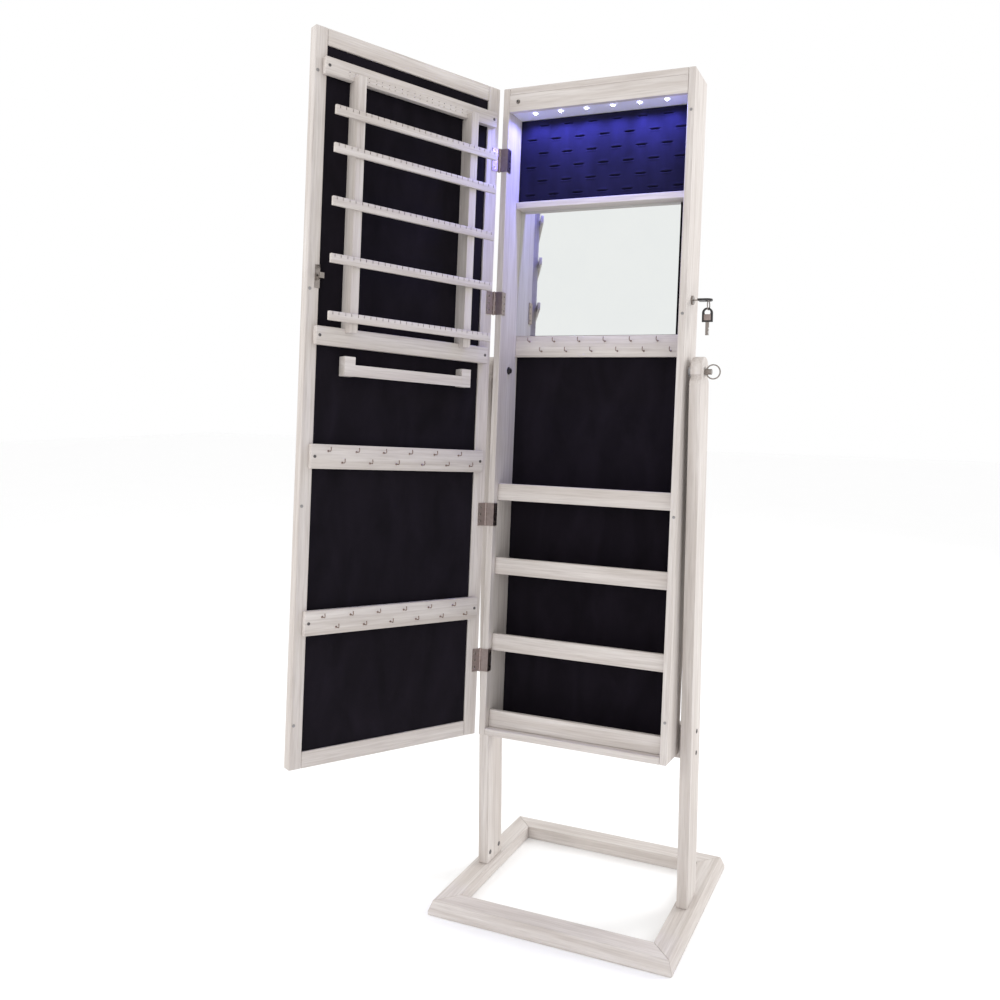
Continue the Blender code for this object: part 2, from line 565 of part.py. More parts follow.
def build_door_storage(door):
    seat = DOOR_INNER + GAP
    reach = DOOR_BOARD_HALF
    for name, heights in (("earring_top_board", EARRING_BOARD_Z), ("earring_lower_board", LOWER_BOARD_Z)):
        board(name, (-reach, seat, heights[0]), (reach, seat + DOOR_BOARD_THICKNESS, heights[1]), door)
    outline = upright_outline(LINING_FACE + GAP, seat + DOOR_BOARD_THICKNESS + GAP)
    for name, middle in (("hinge_side", -UPRIGHT_X), ("free_side", UPRIGHT_X)):
        bm = prism_mesh(outline, 0, middle - UPRIGHT_WIDTH / 2, middle + UPRIGHT_WIDTH / 2)
        finish("earring_upright_" + name, bm, WHITEWASHED_WOOD, door)
    bar_back = DOOR_INNER + UPRIGHT_REACH + GAP
    for number, centre in enumerate(EARRING_BAR_CENTRES, 1):
        board("earring_bar_%d" % number,
              (-EARRING_BAR_LENGTH / 2, bar_back, centre - EARRING_BAR_HEIGHT / 2),
              (EARRING_BAR_LENGTH / 2, bar_back + EARRING_BAR_THICKNESS, centre + EARRING_BAR_HEIGHT / 2),
              door)
    blocks = bmesh.new()
    front = DOOR_INNER + BRACELET_REACH
    for low_x, high_x in BRACELET_BLOCK_X:
        add_box(blocks, (low_x, LINING_FACE + GAP, BRACELET_BLOCK_Z[0]), (high_x, front, BRACELET_BLOCK_Z[1]))
    inset = 0.004
    holder = plain_board("bracelet_holder", (BRACELET_BLOCK_X[0][1] - inset, front - BRACELET_BAR_THICKNESS,
                                             BRACELET_BAR_Z[0]),
                         (BRACELET_BLOCK_X[1][0] + inset, front - GAP, BRACELET_BAR_Z[1]), door)
    join(holder, tool("bracelet_blocks", blocks, door))
    for name, centre in zip(("upper", "lower"), DOOR_HOOK_BOARD_CENTRES):
        half = HOOK_BOARD_HEIGHT / 2
        hook_board = plain_board("door_hook_board_" + name, (-reach, seat, centre - half),
                                 (reach, seat + HOOK_BOARD_THICKNESS, centre + half), door)
        add_hooks(hook_board, seat + HOOK_BOARD_THICKNESS, 1, centre, door)


# ---- hinges ------------------------------------------------------------------------------------
def knuckle_spans(centre):
    """Low and high end of each knuckle of the hinge at this height."""
    pitch = KNUCKLE_LENGTH + KNUCKLE_GAP
    start = centre - (KNUCKLE_COUNT * pitch - KNUCKLE_GAP) / 2
    return [(start + index * pitch, start + index * pitch + KNUCKLE_LENGTH)
            for index in range(KNUCKLE_COUNT)]


def hinge_leaf(name, plate, spans, tab_y, parent):
    """A leaf's plate with its share of the knuckles."""
    leaf = finish(name, plate, BRONZED_STEEL, parent, smooth=True)
    tabs, knuckles = bmesh.new(), bmesh.new()
    back, front = tab_y[0] + TAB_INSET, tab_y[1] - TAB_INSET
    for low, high in spans:
        add_box(tabs, (PIN_X, back, low + TAB_INSET), (-HALF_CABINET + 0.002, front, high - TAB_INSET))
        add_rod(knuckles, (PIN_X, PIN_Y, low), (PIN_X, PIN_Y, high), KNUCKLE_RADIUS, 20)
    join(leaf, tool(name + "_tabs", tabs, parent))
    join(leaf, tool(name + "_knuckles", knuckles, parent))
    return leaf


def build_hinges(cabinet, door):
    corner = -HALF_CABINET - LEAF_CLEARANCE / 2
    inner_wall = -INNER_HALF + GAP
    for number, centre in enumerate(HINGE_CENTRES, 1):
        spans = knuckle_spans(centre)
        low, high = spans[0][0] + LEAF_END_INSET, spans[-1][1] - LEAF_END_INSET
        outline = ((corner, -GAP), (corner, -GAP - LEAF_THICKNESS),
                   (inner_wall + LEAF_THICKNESS, -GAP - LEAF_THICKNESS),
                   (inner_wall + LEAF_THICKNESS, FLANGE_DEPTH), (inner_wall, FLANGE_DEPTH),
                   (inner_wall, -GAP))
        fixed = hinge_leaf("hinge_%d_cabinet_leaf" % number, prism_mesh(outline, 2, low, high),
                           spans[0::2], (-GAP - LEAF_THICKNESS, -GAP), cabinet)
        pin = rod_mesh((PIN_X, PIN_Y, low - 0.001), (PIN_X, PIN_Y, high + 0.001), HINGE_PIN_RADIUS, 16)
        join(fixed, tool("hinge_%d_pin" % number, pin, cabinet))
        door_face = DOOR_INNER + GAP
        plate = box_mesh((corner, door_face, low), (corner + DOOR_LEAF_WIDTH, door_face + LEAF_THICKNESS, high))
        moving = hinge_leaf("hinge_%d_door_leaf" % number, plate, spans[1::2],
                            (door_face, door_face + LEAF_THICKNESS), door)
        bore = rod_mesh((PIN_X, PIN_Y, low - 0.003), (PIN_X, PIN_Y, high + 0.003), HINGE_BORE_RADIUS, 16)
        cut(moving, tool("hinge_%d_bore" % number, bore, door))


# ---- lock and keys -----------------------------------------------------------------------------
def key_bow_outline(start, length, half_width):
    """An arched key bow: square where the blade leaves it, round at its far end."""
    centre = start + length - half_width
    return [(start, -half_width)] + arc((centre, 0), half_width, -90, 90, 16) + [(start, half_width)]


def key_piece(name, parent, place):
    """A key along +x in its own frame, its bow flat in x and y."""
    half = KEY_THICKNESS / 2
    outline = key_bow_outline(KEY_BOW_START, KEY_BOW_LENGTH, KEY_BOW_WIDTH / 2)
    bow = prism_mesh(outline, 2, -half, half)
    bow.transform(place)
    key = finish(name, bow, KEY_PLASTIC, parent, smooth=True)
    eye_start = KEY_BOW_START + KEY_BOW_LENGTH * 0.52
    eye_length = KEY_BOW_LENGTH * 0.48 - KEY_BOW_RIM
    eye = prism_mesh(key_bow_outline(eye_start, eye_length, KEY_BOW_WIDTH / 2 - KEY_BOW_RIM), 2,
                     -2 * half, 2 * half)
    eye.transform(place)
    cut(key, tool(name + "_eye", eye, parent))
    blade = box_mesh((KEY_BOW_START - KEY_BLADE_LENGTH, -KEY_BLADE_WIDTH / 2, -KEY_BLADE_THICKNESS / 2),
                     (KEY_BOW_START + 0.003, KEY_BLADE_WIDTH / 2, KEY_BLADE_THICKNESS / 2))
    blade.transform(place)
    join(key, tool(name + "_blade", blade, parent))
    return key


def build_lock(cabinet, door):
    inner = -CABINET_BOARD - LOCK_BARREL_PROUD
    housing_frame = empty("lock_seat", cabinet, (HALF_CABINET, LOCK_Y, LOCK_Z))
    housing = finish("lock_housing", rod_mesh((GAP, 0, 0), (LOCK_FLANGE_THICKNESS, 0, 0), LOCK_FLANGE_RADIUS, 32),
                     NICKEL, housing_frame, smooth=True)
    barrel = rod_mesh((inner, 0, 0), (LOCK_FLANGE_THICKNESS / 2, 0, 0), LOCK_BARREL_RADIUS, 32)
    join(housing, tool("lock_barrel", barrel, housing_frame))
    bore = rod_mesh((inner - 0.005, 0, 0), (0.02, 0, 0), LOCK_BORE_RADIUS)
    cut(housing, tool("lock_bore", bore, housing_frame))

    axis = empty("lock_axis", cabinet, (HALF_CABINET, LOCK_Y, LOCK_Z))
    plug = finish("lock_plug", rod_mesh((inner - GAP / 2, 0, 0), (LOCK_FLANGE_THICKNESS, 0, 0), PLUG_RADIUS),
                  NICKEL, axis, smooth=True)
    blade_end = KEY_BOW_START - KEY_BLADE_LENGTH
    keyway = box_mesh((blade_end - GAP, -KEY_BLADE_WIDTH / 2 - GAP, -KEY_BLADE_THICKNESS / 2 - GAP),
                      (0.02, KEY_BLADE_WIDTH / 2 + GAP, KEY_BLADE_THICKNESS / 2 + GAP))
    cut(plug, tool("keyway", keyway, axis))
    cam_outer = inner - GAP / 2 - GAP
    half = CAM_WIDTH / 2
    hook_low = CAM_ARM - CAM_HOOK_WIDTH
    outline = ((-half, -0.005), (half, -0.005), (half, CAM_ARM), (-half - CAM_HOOK, CAM_ARM),
               (-half - CAM_HOOK, hook_low), (-half, hook_low))
    finish("lock_cam", prism_mesh(outline, 0, cam_outer - CAM_THICKNESS, cam_outer), NICKEL, axis)
    key_piece("key", axis, Matrix.Identity(4))

    swing = empty("spare_key_swing", cabinet, (HALF_CABINET + SPARE_KEY_X, LOCK_Y, LOCK_Z),
                  (CABINET_TILT, 0, 0))
    drop = SPARE_KEY_DROP + KEY_BOW_START + KEY_BOW_LENGTH
    hang = Matrix.Translation((0, 0, -drop)) @ Matrix.Rotation(-math.pi / 2, 4, "Y") @ Matrix.Rotation(
        math.pi / 2, 4, "X")
    key_piece("spare_key", swing, hang)

    right = INNER_HALF - DOOR_BOARD_CLEARANCE
    left = right - STRIKE_WIDTH
    face = DOOR_INNER + GAP
    middle = (STRIKE_TONGUE_Z[0] + STRIKE_TONGUE_Z[1]) / 2
    strike = plain_board("lock_strike", (left, face, middle - STRIKE_HEIGHT / 2),
                         (right, face + LEAF_THICKNESS, middle + STRIKE_HEIGHT / 2), door, NICKEL)
    tongue = box_mesh((left, face + LEAF_THICKNESS / 2, STRIKE_TONGUE_Z[0]),
                      (right, STRIKE_SLOT_Y[1] + STRIKE_NOSE, STRIKE_TONGUE_Z[1]))
    join(strike, tool("strike_tongue", tongue, door))
    slot = box_mesh((left - 0.01, STRIKE_SLOT_Y[0], STRIKE_SLOT_FLOOR),
                    (right + 0.01, STRIKE_SLOT_Y[1], STRIKE_TONGUE_Z[1] + 0.01))
    cut(strike, tool("strike_slot", slot, door))


# ---- assembly ----------------------------------------------------------------------------------
def main():
    stand = empty("stand_frame", None, (0, STAND_Y, 0))
    build_base(stand)
    tilt_axis = empty("cabinet_tilt_axis", stand, (0, 0, PIVOT_HEIGHT), (-CABINET_TILT, 0, 0))
    cabinet = empty("cabinet_frame", tilt_axis, (0, -CABINET_DEPTH / 2, -PIVOT_UP))
    hinge_axis = empty("door_hinge_axis", cabinet, (PIN_X, PIN_Y, 0), (0, 0, -DOOR_OPEN))
    door = empty("door_frame", hinge_axis, (-PIN_X, -PIN_Y, 0))
    build_carcase(cabinet)
    build_lighting(cabinet)
    build_interior(cabinet)
    build_door_frame(door)
    build_door_storage(door)
    build_hinges(cabinet, door)
    build_lock(cabinet, door)


main()
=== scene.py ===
"""Looks of the tilting jewelry armoire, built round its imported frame."""

import json
import math

import bmesh
import bpy
from mathutils import Matrix, Vector

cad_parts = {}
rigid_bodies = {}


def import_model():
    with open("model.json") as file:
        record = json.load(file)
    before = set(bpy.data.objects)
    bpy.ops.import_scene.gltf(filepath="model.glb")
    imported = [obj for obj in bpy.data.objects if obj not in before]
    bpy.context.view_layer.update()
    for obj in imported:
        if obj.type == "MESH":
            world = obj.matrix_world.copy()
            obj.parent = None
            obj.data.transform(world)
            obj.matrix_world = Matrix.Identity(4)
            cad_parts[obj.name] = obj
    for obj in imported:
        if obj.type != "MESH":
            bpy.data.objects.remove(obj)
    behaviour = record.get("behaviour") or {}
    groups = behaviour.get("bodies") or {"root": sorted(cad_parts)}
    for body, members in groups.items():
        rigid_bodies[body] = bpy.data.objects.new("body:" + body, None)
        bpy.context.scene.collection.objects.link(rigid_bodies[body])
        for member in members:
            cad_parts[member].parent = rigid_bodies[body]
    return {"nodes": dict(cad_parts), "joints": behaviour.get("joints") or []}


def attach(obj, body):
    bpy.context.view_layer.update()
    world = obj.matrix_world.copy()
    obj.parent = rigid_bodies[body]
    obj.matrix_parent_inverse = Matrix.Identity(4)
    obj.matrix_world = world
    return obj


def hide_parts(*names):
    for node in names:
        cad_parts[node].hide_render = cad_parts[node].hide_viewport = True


bl_info = {
    "name": "Jewelry Armoire",
    "version": (1, 0, 0),
    "blender": (4, 5, 0),
    "location": "View3D > Sidebar > Armoire",
    "description": "Finishes, soft parts and fittings of a tilting jewelry armoire",
    "category": "Object",
}

for leftover in list(bpy.data.objects):
    bpy.data.objects.remove(leftover, do_unlink=True)

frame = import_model()
NODES = frame["nodes"]
JOINTS = {joint["name"]: joint for joint in frame["joints"]}
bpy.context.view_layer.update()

X, Y, Z = Vector((1, 0, 0)), Vector((0, 1, 0)), Vector((0, 0, 1))


# ---- the cabinet's and the door's own frames ----
def local_places(name, space):
    """A CAD node's vertices, measured in a frame of its own."""
    inverse = space.inverted()
    return [inverse @ vertex.co for vertex in NODES[name].data.vertices]


def local_box(name, space):
    """Lowest and highest corners of a CAD node, measured in a frame of its own."""
    places = local_places(name, space)
    low = Vector([min(place[axis] for place in places) for axis in range(3)])
    high = Vector([max(place[axis] for place in places) for axis in range(3)])
    return low, high


def local_board(name, space):
    """Box of a board's wood alone, without its hooks, from the vertices at its right end."""
    low, high = local_box(name, space)
    depths = [place.y for place in local_places(name, space) if place.x > high.x - 0.002]
    return Vector((low.x, min(depths), low.z)), Vector((high.x, max(depths), high.z))


def local_plate(name, space):
    """Height of a hinge leaf's plate over the face it is screwed to."""
    _, high = local_box(name, space)
    return max(place.y for place in local_places(name, space) if place.x > high.x - 0.0003)


def turned_about(joint, degrees):
    place = Matrix.Translation(Vector(joint["pos_m"]))
    turn = Matrix.Rotation(math.radians(degrees), 4, Vector(joint["axis"]))
    return place @ turn @ place.inverted()


def cabinet_space():
    """Origin at the cabinet's bottom front edge, midway across; z runs up its front."""
    axis = Vector(JOINTS["door_swing"]["axis"])
    lean = math.atan2(axis.y, axis.z)
    pivot = Matrix.Translation(Vector(JOINTS["cabinet_tilt"]["pos_m"]))
    pivot = pivot @ Matrix.Rotation(-lean, 4, "X")
    low, _ = local_box("cabinet_side_right", pivot)
    return pivot @ Matrix.Translation((0, low.y, low.z))


WORLD = Matrix.Identity(4)
CABINET = cabinet_space()
DOOR = turned_about(JOINTS["door_swing"], -JOINTS["door_swing"]["range_deg"][1]) @ CABINET
PIVOT = Vector(JOINTS["cabinet_tilt"]["pos_m"])


# ---- materials ----
FIGURE_STRENGTH, PORE_STRENGTH = 0.38, 0.30
RIM_PAINTED_HALO = 0.06                     # painted halo glow on a lamp's rim, as a share of its lens


def new_material(name):
    material = bpy.data.materials.new(name)
    material.use_nodes = True
    tree = material.node_tree
    return material, tree, tree.nodes["Principled BSDF"]


def add_node(tree, kind, settings=None, **sockets):
    """A shader node with its settings and socket values; a socket may be given another's output."""
    made = tree.nodes.new(kind)
    for key, value in (settings or {}).items():
        setattr(made, key, value)
    for key, value in sockets.items():
        socket = made.inputs[key.replace("_", " ")]
        if isinstance(value, bpy.types.NodeSocket):
            tree.links.new(value, socket)
        else:
            socket.default_value = value
    return made


def ramp(tree, factor, stops):
    made = add_node(tree, "ShaderNodeValToRGB", Fac=factor)
    elements = made.color_ramp.elements
    while len(elements) < len(stops):
        elements.new(0.5)
    for element, (place, value) in zip(elements, stops):
        element.position = place
        element.color = (value, value, value, 1) if isinstance(value, float) else (*value, 1)
    return made.outputs["Color"]


def mix(tree, factor, first, second, blend="MIX"):
    made = tree.nodes.new("ShaderNodeMix")
    made.data_type = "RGBA"
    made.blend_type = blend
    sockets = made.inputs[0], made.inputs[6], made.inputs[7]
    for socket, value in zip(sockets, (factor, first, second)):
        if isinstance(value, bpy.types.NodeSocket):
            tree.links.new(value, socket)
        elif isinstance(value, (int, float)):
            socket.default_value = value
        else:
            socket.default_value = (*value, 1)
    return made.outputs[2]


def mapped(tree, turn, stretch):
    """Object coordinates turned so that z runs along the piece, then stretched."""
    source = tree.nodes.new("ShaderNodeTexCoord").outputs["Object"]
    turned = add_node(tree, "ShaderNodeMapping", Vector=source, Rotation=turn).outputs["Vector"]
    return add_node(tree, "ShaderNodeMapping", Vector=turned, Scale=stretch).outputs["Vector"]


def noise(tree, vector, scale, detail=3.0, roughness=0.5, distortion=0.0):
    made = add_node(tree, "ShaderNodeTexNoise", Vector=vector, Scale=scale, Detail=detail,
                    Roughness=roughness, Distortion=distortion)
    return made.outputs["Fac"]


def bump(tree, shader, height, distance, strength):
    made = add_node(tree, "ShaderNodeBump", Height=height, Distance=distance, Strength=strength)
    tree.links.new(made.outputs["Normal"], shader.inputs["Normal"])


def whitewashed_wood(name, space, along, props):
    """Brushed white finish over oak-like grain that runs along one direction of a frame."""
    material, tree, shader = new_material(name)
    axes = {0: Matrix.Rotation(math.pi / 2, 3, "Y"), 1: Matrix.Rotation(-math.pi / 2, 3, "X"),
            2: Matrix.Identity(3)}
    turn = (space.to_3x3() @ axes[along]).inverted().to_euler()
    long = mapped(tree, turn, (1, 1, 0.035))
    figure = mapped(tree, turn, (1, 1, 0.11))
    plain = mapped(tree, turn, (1, 1, 1))
    streaks = ramp(tree, noise(tree, long, 150, 5, 0.62, 0.25), ((0.36, 0.0), (0.68, 1.0)))
    fine = ramp(tree, noise(tree, long, 420, 3, 0.6), ((0.45, 0.0), (0.72, 1.0)))
    rings = add_node(tree, "ShaderNodeTexWave", {"wave_type": "BANDS", "bands_direction": "X"},
                     Vector=figure, Scale=9.0, Distortion=9.0, Detail=3.0,
                     Detail_Scale=1.4).outputs["Fac"]
    rings = ramp(tree, rings, ((0.25, 0.0), (0.95, 1.0)))
    mottle = noise(tree, plain, 7, 3, 0.5)
    colour = mix(tree, mottle, props.wood_white, tuple(0.94 * c for c in props.wood_white))
    for pattern, strength, tint in ((rings, FIGURE_STRENGTH, props.wood_shade),
                                    (streaks, props.grain_strength, props.wood_streak),
                                    (fine, PORE_STRENGTH, props.wood_pore)):
        colour = mix(tree, ramp(tree, pattern, ((0.0, 0.0), (1.0, strength))), colour, tint)
    tree.links.new(colour, shader.inputs["Base Color"])
    rough = ramp(tree, streaks, ((0.0, 0.46), (1.0, 0.62)))
    tree.links.new(rough, shader.inputs["Roughness"])
    shader.inputs["Specular IOR Level"].default_value = 0.42
    height = mix(tree, 0.5, streaks, fine)
    bump(tree, shader, height, 0.00018, 0.45)
    return material


def velvet(name, space, colour, props):
    material, tree, shader = new_material(name)
    turn = space.to_3x3().inverted().to_euler()
    plain = mapped(tree, turn, (1, 1, 1))
    pile = noise(tree, plain, 1500, 2, 0.7)
    brushed = noise(tree, mapped(tree, turn, (1, 1, 0.35)), 22, 4, 0.55, 0.6)
    dark = tuple(0.55 * c for c in colour)
    light = tuple(min(1.0, 1.7 * c + 0.002) for c in colour)
    tone = mix(tree, ramp(tree, brushed, ((0.3, 0.0), (0.75, 1.0))), dark, light)
    tone = mix(tree, ramp(tree, pile, ((0.35, 0.0), (0.7, 0.6))), tone, colour)
    tree.links.new(tone, shader.inputs["Base Color"])
    tree.links.new(ramp(tree, pile, ((0.2, 0.86), (0.8, 1.0))), shader.inputs["Roughness"])
    shader.inputs["Specular IOR Level"].default_value = 0.15
    shader.inputs["Sheen Weight"].default_value = props.velvet_sheen
    shader.inputs["Sheen Roughness"].default_value = 0.45
    shader.inputs["Sheen Tint"].default_value = (0.55, 0.42, 0.60, 1)
    bump(tree, shader, pile, 0.0004, 0.6)
    return material


def metal(name, colour, roughness, wear=0.12):
    """Plated metal: a fine brushed grain, cloudy patches and small scratches."""
    material, tree, shader = new_material(name)
    plain = mapped(tree, (0, 0, 0), (1, 1, 1))
    clouds = noise(tree, plain, 160, 4, 0.6)
    brushed = noise(tree, mapped(tree, (0, 0, 0.3), (1, 1, 0.06)), 2600, 2, 0.5)
    dull = tuple(0.72 * c for c in colour)
    tone = mix(tree, ramp(tree, clouds, ((0.35, 0.0), (0.75, 0.7))), colour, dull)
    tree.links.new(tone, shader.inputs["Base Color"])
    rough = ramp(tree, clouds, ((0.3, max(0.05, roughness - wear / 2)), (0.75, roughness + wear)))
    tree.links.new(rough, shader.inputs["Roughness"])
    shader.inputs["Metallic"].default_value = 1.0
    bump(tree, shader, brushed, 0.00004, 0.35)
    return material


def looking_glass(name, space):
    """Silvered glass with the faintest haze and a slight waviness."""
    material, tree, shader = new_material(name)
    plain = mapped(tree, space.to_3x3().inverted().to_euler(), (1, 1, 1))
    haze = noise(tree, plain, 14, 4, 0.6, 0.4)
    tone = mix(tree, haze, (0.84, 0.86, 0.845), (0.80, 0.825, 0.82))
    tree.links.new(tone, shader.inputs["Base Color"])
    tree.links.new(ramp(tree, haze, ((0.45, 0.012), (0.8, 0.05))), shader.inputs["Roughness"])
    shader.inputs["Metallic"].default_value = 1.0
    bump(tree, shader, noise(tree, plain, 3.0, 1, 0.4), 0.002, 0.015)
    return material


def plastic(name, colour, roughness, speck=0.05):
    material, tree, shader = new_material(name)
    plain = mapped(tree, (0, 0, 0), (1, 1, 1))
    grain = noise(tree, plain, 900, 3, 0.6)
    tone = mix(tree, grain, tuple(max(0.0, (1 - speck) * c) for c in colour), colour)
    tree.links.new(tone, shader.inputs["Base Color"])
    clouds = noise(tree, plain, 70, 3, 0.6)
    rough = ramp(tree, clouds, ((0.3, roughness - 0.06), (0.7, roughness + 0.08)))
    tree.links.new(rough, shader.inputs["Roughness"])
    bump(tree, shader, grain, 0.00008, 0.3)
    return material


def glowing(name, colour, strength):
    """Clear moulding that gives off light, with a little texture; on the lamp cups this glow is a
    painted halo.
    """
    material, tree, shader = new_material(name)
    plain = mapped(tree, (0, 0, 0), (1, 1, 1))
    grain = noise(tree, plain, 700, 2, 0.5)
    tone = mix(tree, grain, colour, tuple(0.85 * c for c in colour))
    tree.links.new(tone, shader.inputs["Base Color"])
    tree.links.new(mix(tree, grain, (1, 1, 1), colour), shader.inputs["Emission Color"])
    shader.inputs["Emission Strength"].default_value = strength
    shader.inputs["Roughness"].default_value = 0.2
    return material


MATERIALS = {}


def finishes(props):
    """Every finish, made once."""
    if MATERIALS:
        return MATERIALS
    for name, space, along in (("stand_upright", WORLD, 2), ("stand_across", WORLD, 0),
                               ("stand_deep", WORLD, 1),
                               ("cabinet_upright", CABINET, 2), ("cabinet_across", CABINET, 0),
                               ("door_upright", DOOR, 2), ("door_across", DOOR, 0)):
        MATERIALS[name] = whitewashed_wood("whitewash_" + name, space, along, props)
    # the pad's blue tint is painted light: the lamps' blue glow laid into its near-black velvet
    # colour
    MATERIALS["pad_velvet"] = velvet("velvet_pad_painted_glow", CABINET, props.pad_colour_painted_glow, props)
    MATERIALS["cabinet_velvet"] = velvet("velvet_cabinet", CABINET, props.velvet_colour, props)
    MATERIALS["door_velvet"] = velvet("velvet_door", DOOR, props.velvet_colour, props)
    MATERIALS["nickel"] = metal("satin_nickel", props.nickel_colour, 0.24)
    MATERIALS["hook_metal"] = metal("rose_plated_wire", props.hook_colour, 0.22)
    MATERIALS["bronze"] = metal("dark_bronze", props.hinge_colour, 0.34)
    MATERIALS["steel"] = metal("dark_steel", (0.16, 0.15, 0.15), 0.42)
    MATERIALS["magnet"] = metal("magnet_face", (0.34, 0.33, 0.33), 0.38)
    MATERIALS["cabinet_glass"] = looking_glass("inner_glass", CABINET)
    MATERIALS["door_glass"] = looking_glass("outer_glass", DOOR)
    # white moulding with a painted lavender tint that stands for the lamps' glow on it
    MATERIALS["lamp_body_painted_glow"] = plastic("lamp_moulding_painted_glow", props.lamp_colour_painted_glow, 0.45)
    MATERIALS["black_plastic"] = plastic("black_plastic", (0.018, 0.016, 0.016), 0.38)
    MATERIALS["white_plastic"] = plastic("white_plastic", (0.74, 0.74, 0.76), 0.35)
    MATERIALS["lens"] = glowing("lit_lens", props.glow_colour, props.lens_strength)
    # the lamp cups are no lamps: their faint blue emission is a painted halo round each lens
    MATERIALS["lens_rim"] = glowing("painted_halo_rim", (0.45, 0.50, 1.0), props.lens_strength * RIM_PAINTED_HALO)
    return MATERIALS


# ---- making pieces ----
def add_box(bm, low, high, soften=0.0, segments=2):
    low, high = Vector(low), Vector(high)
    place = Matrix.Translation((low + high) / 2) @ Matrix.Diagonal((*(high - low), 1.0))
    made = bmesh.ops.create_cube(bm, size=1.0, matrix=place)
    if soften > 0:
        edges = list({edge for vertex in made["verts"] for edge in vertex.link_edges})
        bmesh.ops.bevel(bm, geom=edges, offset=soften, segments=segments, profile=0.5,
                        affect="EDGES", material=-1)


def facing(at, towards):
    """A frame at a point, its z along a direction."""
    turn = Vector(towards).to_track_quat("Z", "Y").to_matrix().to_4x4()
    return Matrix.Translation(Vector(at)) @ turn


def add_rod(bm, start, end, radius, sides=24, soften=0.0, tip=None):
    start, end = Vector(start), Vector(end)
    place = facing((start + end) / 2, end - start)
    made = bmesh.ops.create_cone(bm, cap_ends=True, segments=sides, radius1=radius,
                                 radius2=radius if tip is None else tip, depth=(end - start).length,
                                 matrix=place)
    if soften > 0:
        along = (end - start).normalized()
        edges = {edge for vertex in made["verts"] for edge in vertex.link_edges}
        rims = [edge for edge in edges
                if abs((edge.verts[0].co - edge.verts[1].co).normalized().dot(along)) < 0.5]
        bmesh.ops.bevel(bm, geom=rims, offset=soften, segments=2, profile=0.5, affect="EDGES",
                        material=-1)


def add_turned(bm, place, profile, sides=24):
    """A solid of revolution about z of a frame, from (radius, height) points off the axis."""
    verts = [bm.verts.new(place @ Vector((radius, 0, height))) for radius, height in profile]
    edges = [bm.edges.new(pair) for pair in zip(verts, verts[1:])]
    bmesh.ops.spin(bm, geom=verts + edges, angle=math.tau, steps=sides, use_merge=True,
                   axis=place.to_3x3() @ Z, cent=place.to_translation())
    bmesh.ops.remove_doubles(bm, verts=bm.verts, dist=1e-7)


def add_ring(bm, place, radius, wire, around=40, section=8):
    """A round wire ring in the x-y plane of a frame."""
    start = place @ Matrix.Translation((radius, 0, 0)) @ Matrix.Rotation(math.pi / 2, 4, "X")
    made = bmesh.ops.create_circle(bm, segments=section, radius=wire, matrix=start)
    edges = list({edge for vertex in made["verts"] for edge in vertex.link_edges})
    bmesh.ops.spin(bm, geom=made["verts"] + edges, angle=math.tau, steps=around, use_merge=True,
                   axis=place.to_3x3() @ Z, cent=place.to_translation())
    bmesh.ops.remove_doubles(bm, verts=bm.verts, dist=1e-7)


def extruded(bm, edges):
    """Open edges drawn out where they are: the new vertices and the new open edges."""
    swept = bmesh.ops.extrude_edge_only(bm, edges=edges)["geom"]
    verts = [item for item in swept if isinstance(item, bmesh.types.BMVert)]
    rims = [item for item in swept if isinstance(item, bmesh.types.BMEdge) and item.is_boundary]
    return verts, rims


def bm_mesh(name, bm):
    mesh = bpy.data.meshes.new(name)
    bm.to_mesh(mesh)
    bm.free()
    return mesh


def temporary(name, bm):
    made = bpy.data.objects.new(name, bm_mesh(name, bm))
    bpy.context.scene.collection.objects.link(made)
    return made


def carved(solid, cutter, operation="DIFFERENCE"):
    """The bmesh of one closed shape with another taken away from it, or joined to it."""
    for shape in (solid, cutter):
        bmesh.ops.recalc_face_normals(shape, faces=shape.faces)
    base, tool = temporary("base", solid), temporary("tool", cutter)
    step = base.modifiers.new("step", "BOOLEAN")
    step.operation, step.solver, step.object = operation, "EXACT", tool
    step.use_self = True
    bpy.context.view_layer.update()
    result = base.evaluated_get(bpy.context.evaluated_depsgraph_get()).to_mesh()
    bm = bmesh.new()
    bm.from_mesh(result)
    for used in (base, tool):
        mesh = used.data
        bpy.data.objects.remove(used)
        bpy.data.meshes.remove(mesh)
    return bm


def finish_piece(name, bm, material, body, space=WORLD, smooth=30.0, stands_for=()):
    """A piece drawn in a frame, put in place in its mesh and set to ride on a body."""
    bm.transform(space)
    bmesh.ops.recalc_face_normals(bm, faces=bm.faces)
    mesh = bm_mesh(name, bm)
    if not mesh.polygons:
        raise RuntimeError(name + " came out empty")
    mesh.shade_smooth()
    mesh.set_sharp_from_angle(angle=math.radians(smooth))
    mesh.materials.append(material)
    piece = bpy.data.objects.new(name, mesh)
    bpy.context.scene.collection.objects.link(piece)
    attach(piece, body)
    if stands_for:
        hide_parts(*stands_for)
    return piece


def refinish(node, material):
    slots = NODES[node].data.materials
    slots.clear()
    slots.append(material)


def spaced(first, last, count):
    return [first + (last - first) * index / (count - 1) for index in range(count)]


# ---- settings ----
def colour_property(name, description, default):
    return bpy.props.FloatVectorProperty(name=name, description=description, default=default,
                                         size=3, min=0.0, max=1.0, subtype="COLOR")


def length_property(name, description, default):
    return bpy.props.FloatProperty(name=name, description=description, default=default, min=0.0,
                                   unit="LENGTH", subtype="DISTANCE", precision=4)


def share_property(name, description, default):
    return bpy.props.FloatProperty(name=name, description=description, default=default, min=0.0,
                                   max=1.0, subtype="FACTOR")


def count_property(name, description, default, least, most):
    return bpy.props.IntProperty(name=name, description=description, default=default, min=least,
                                 max=most)


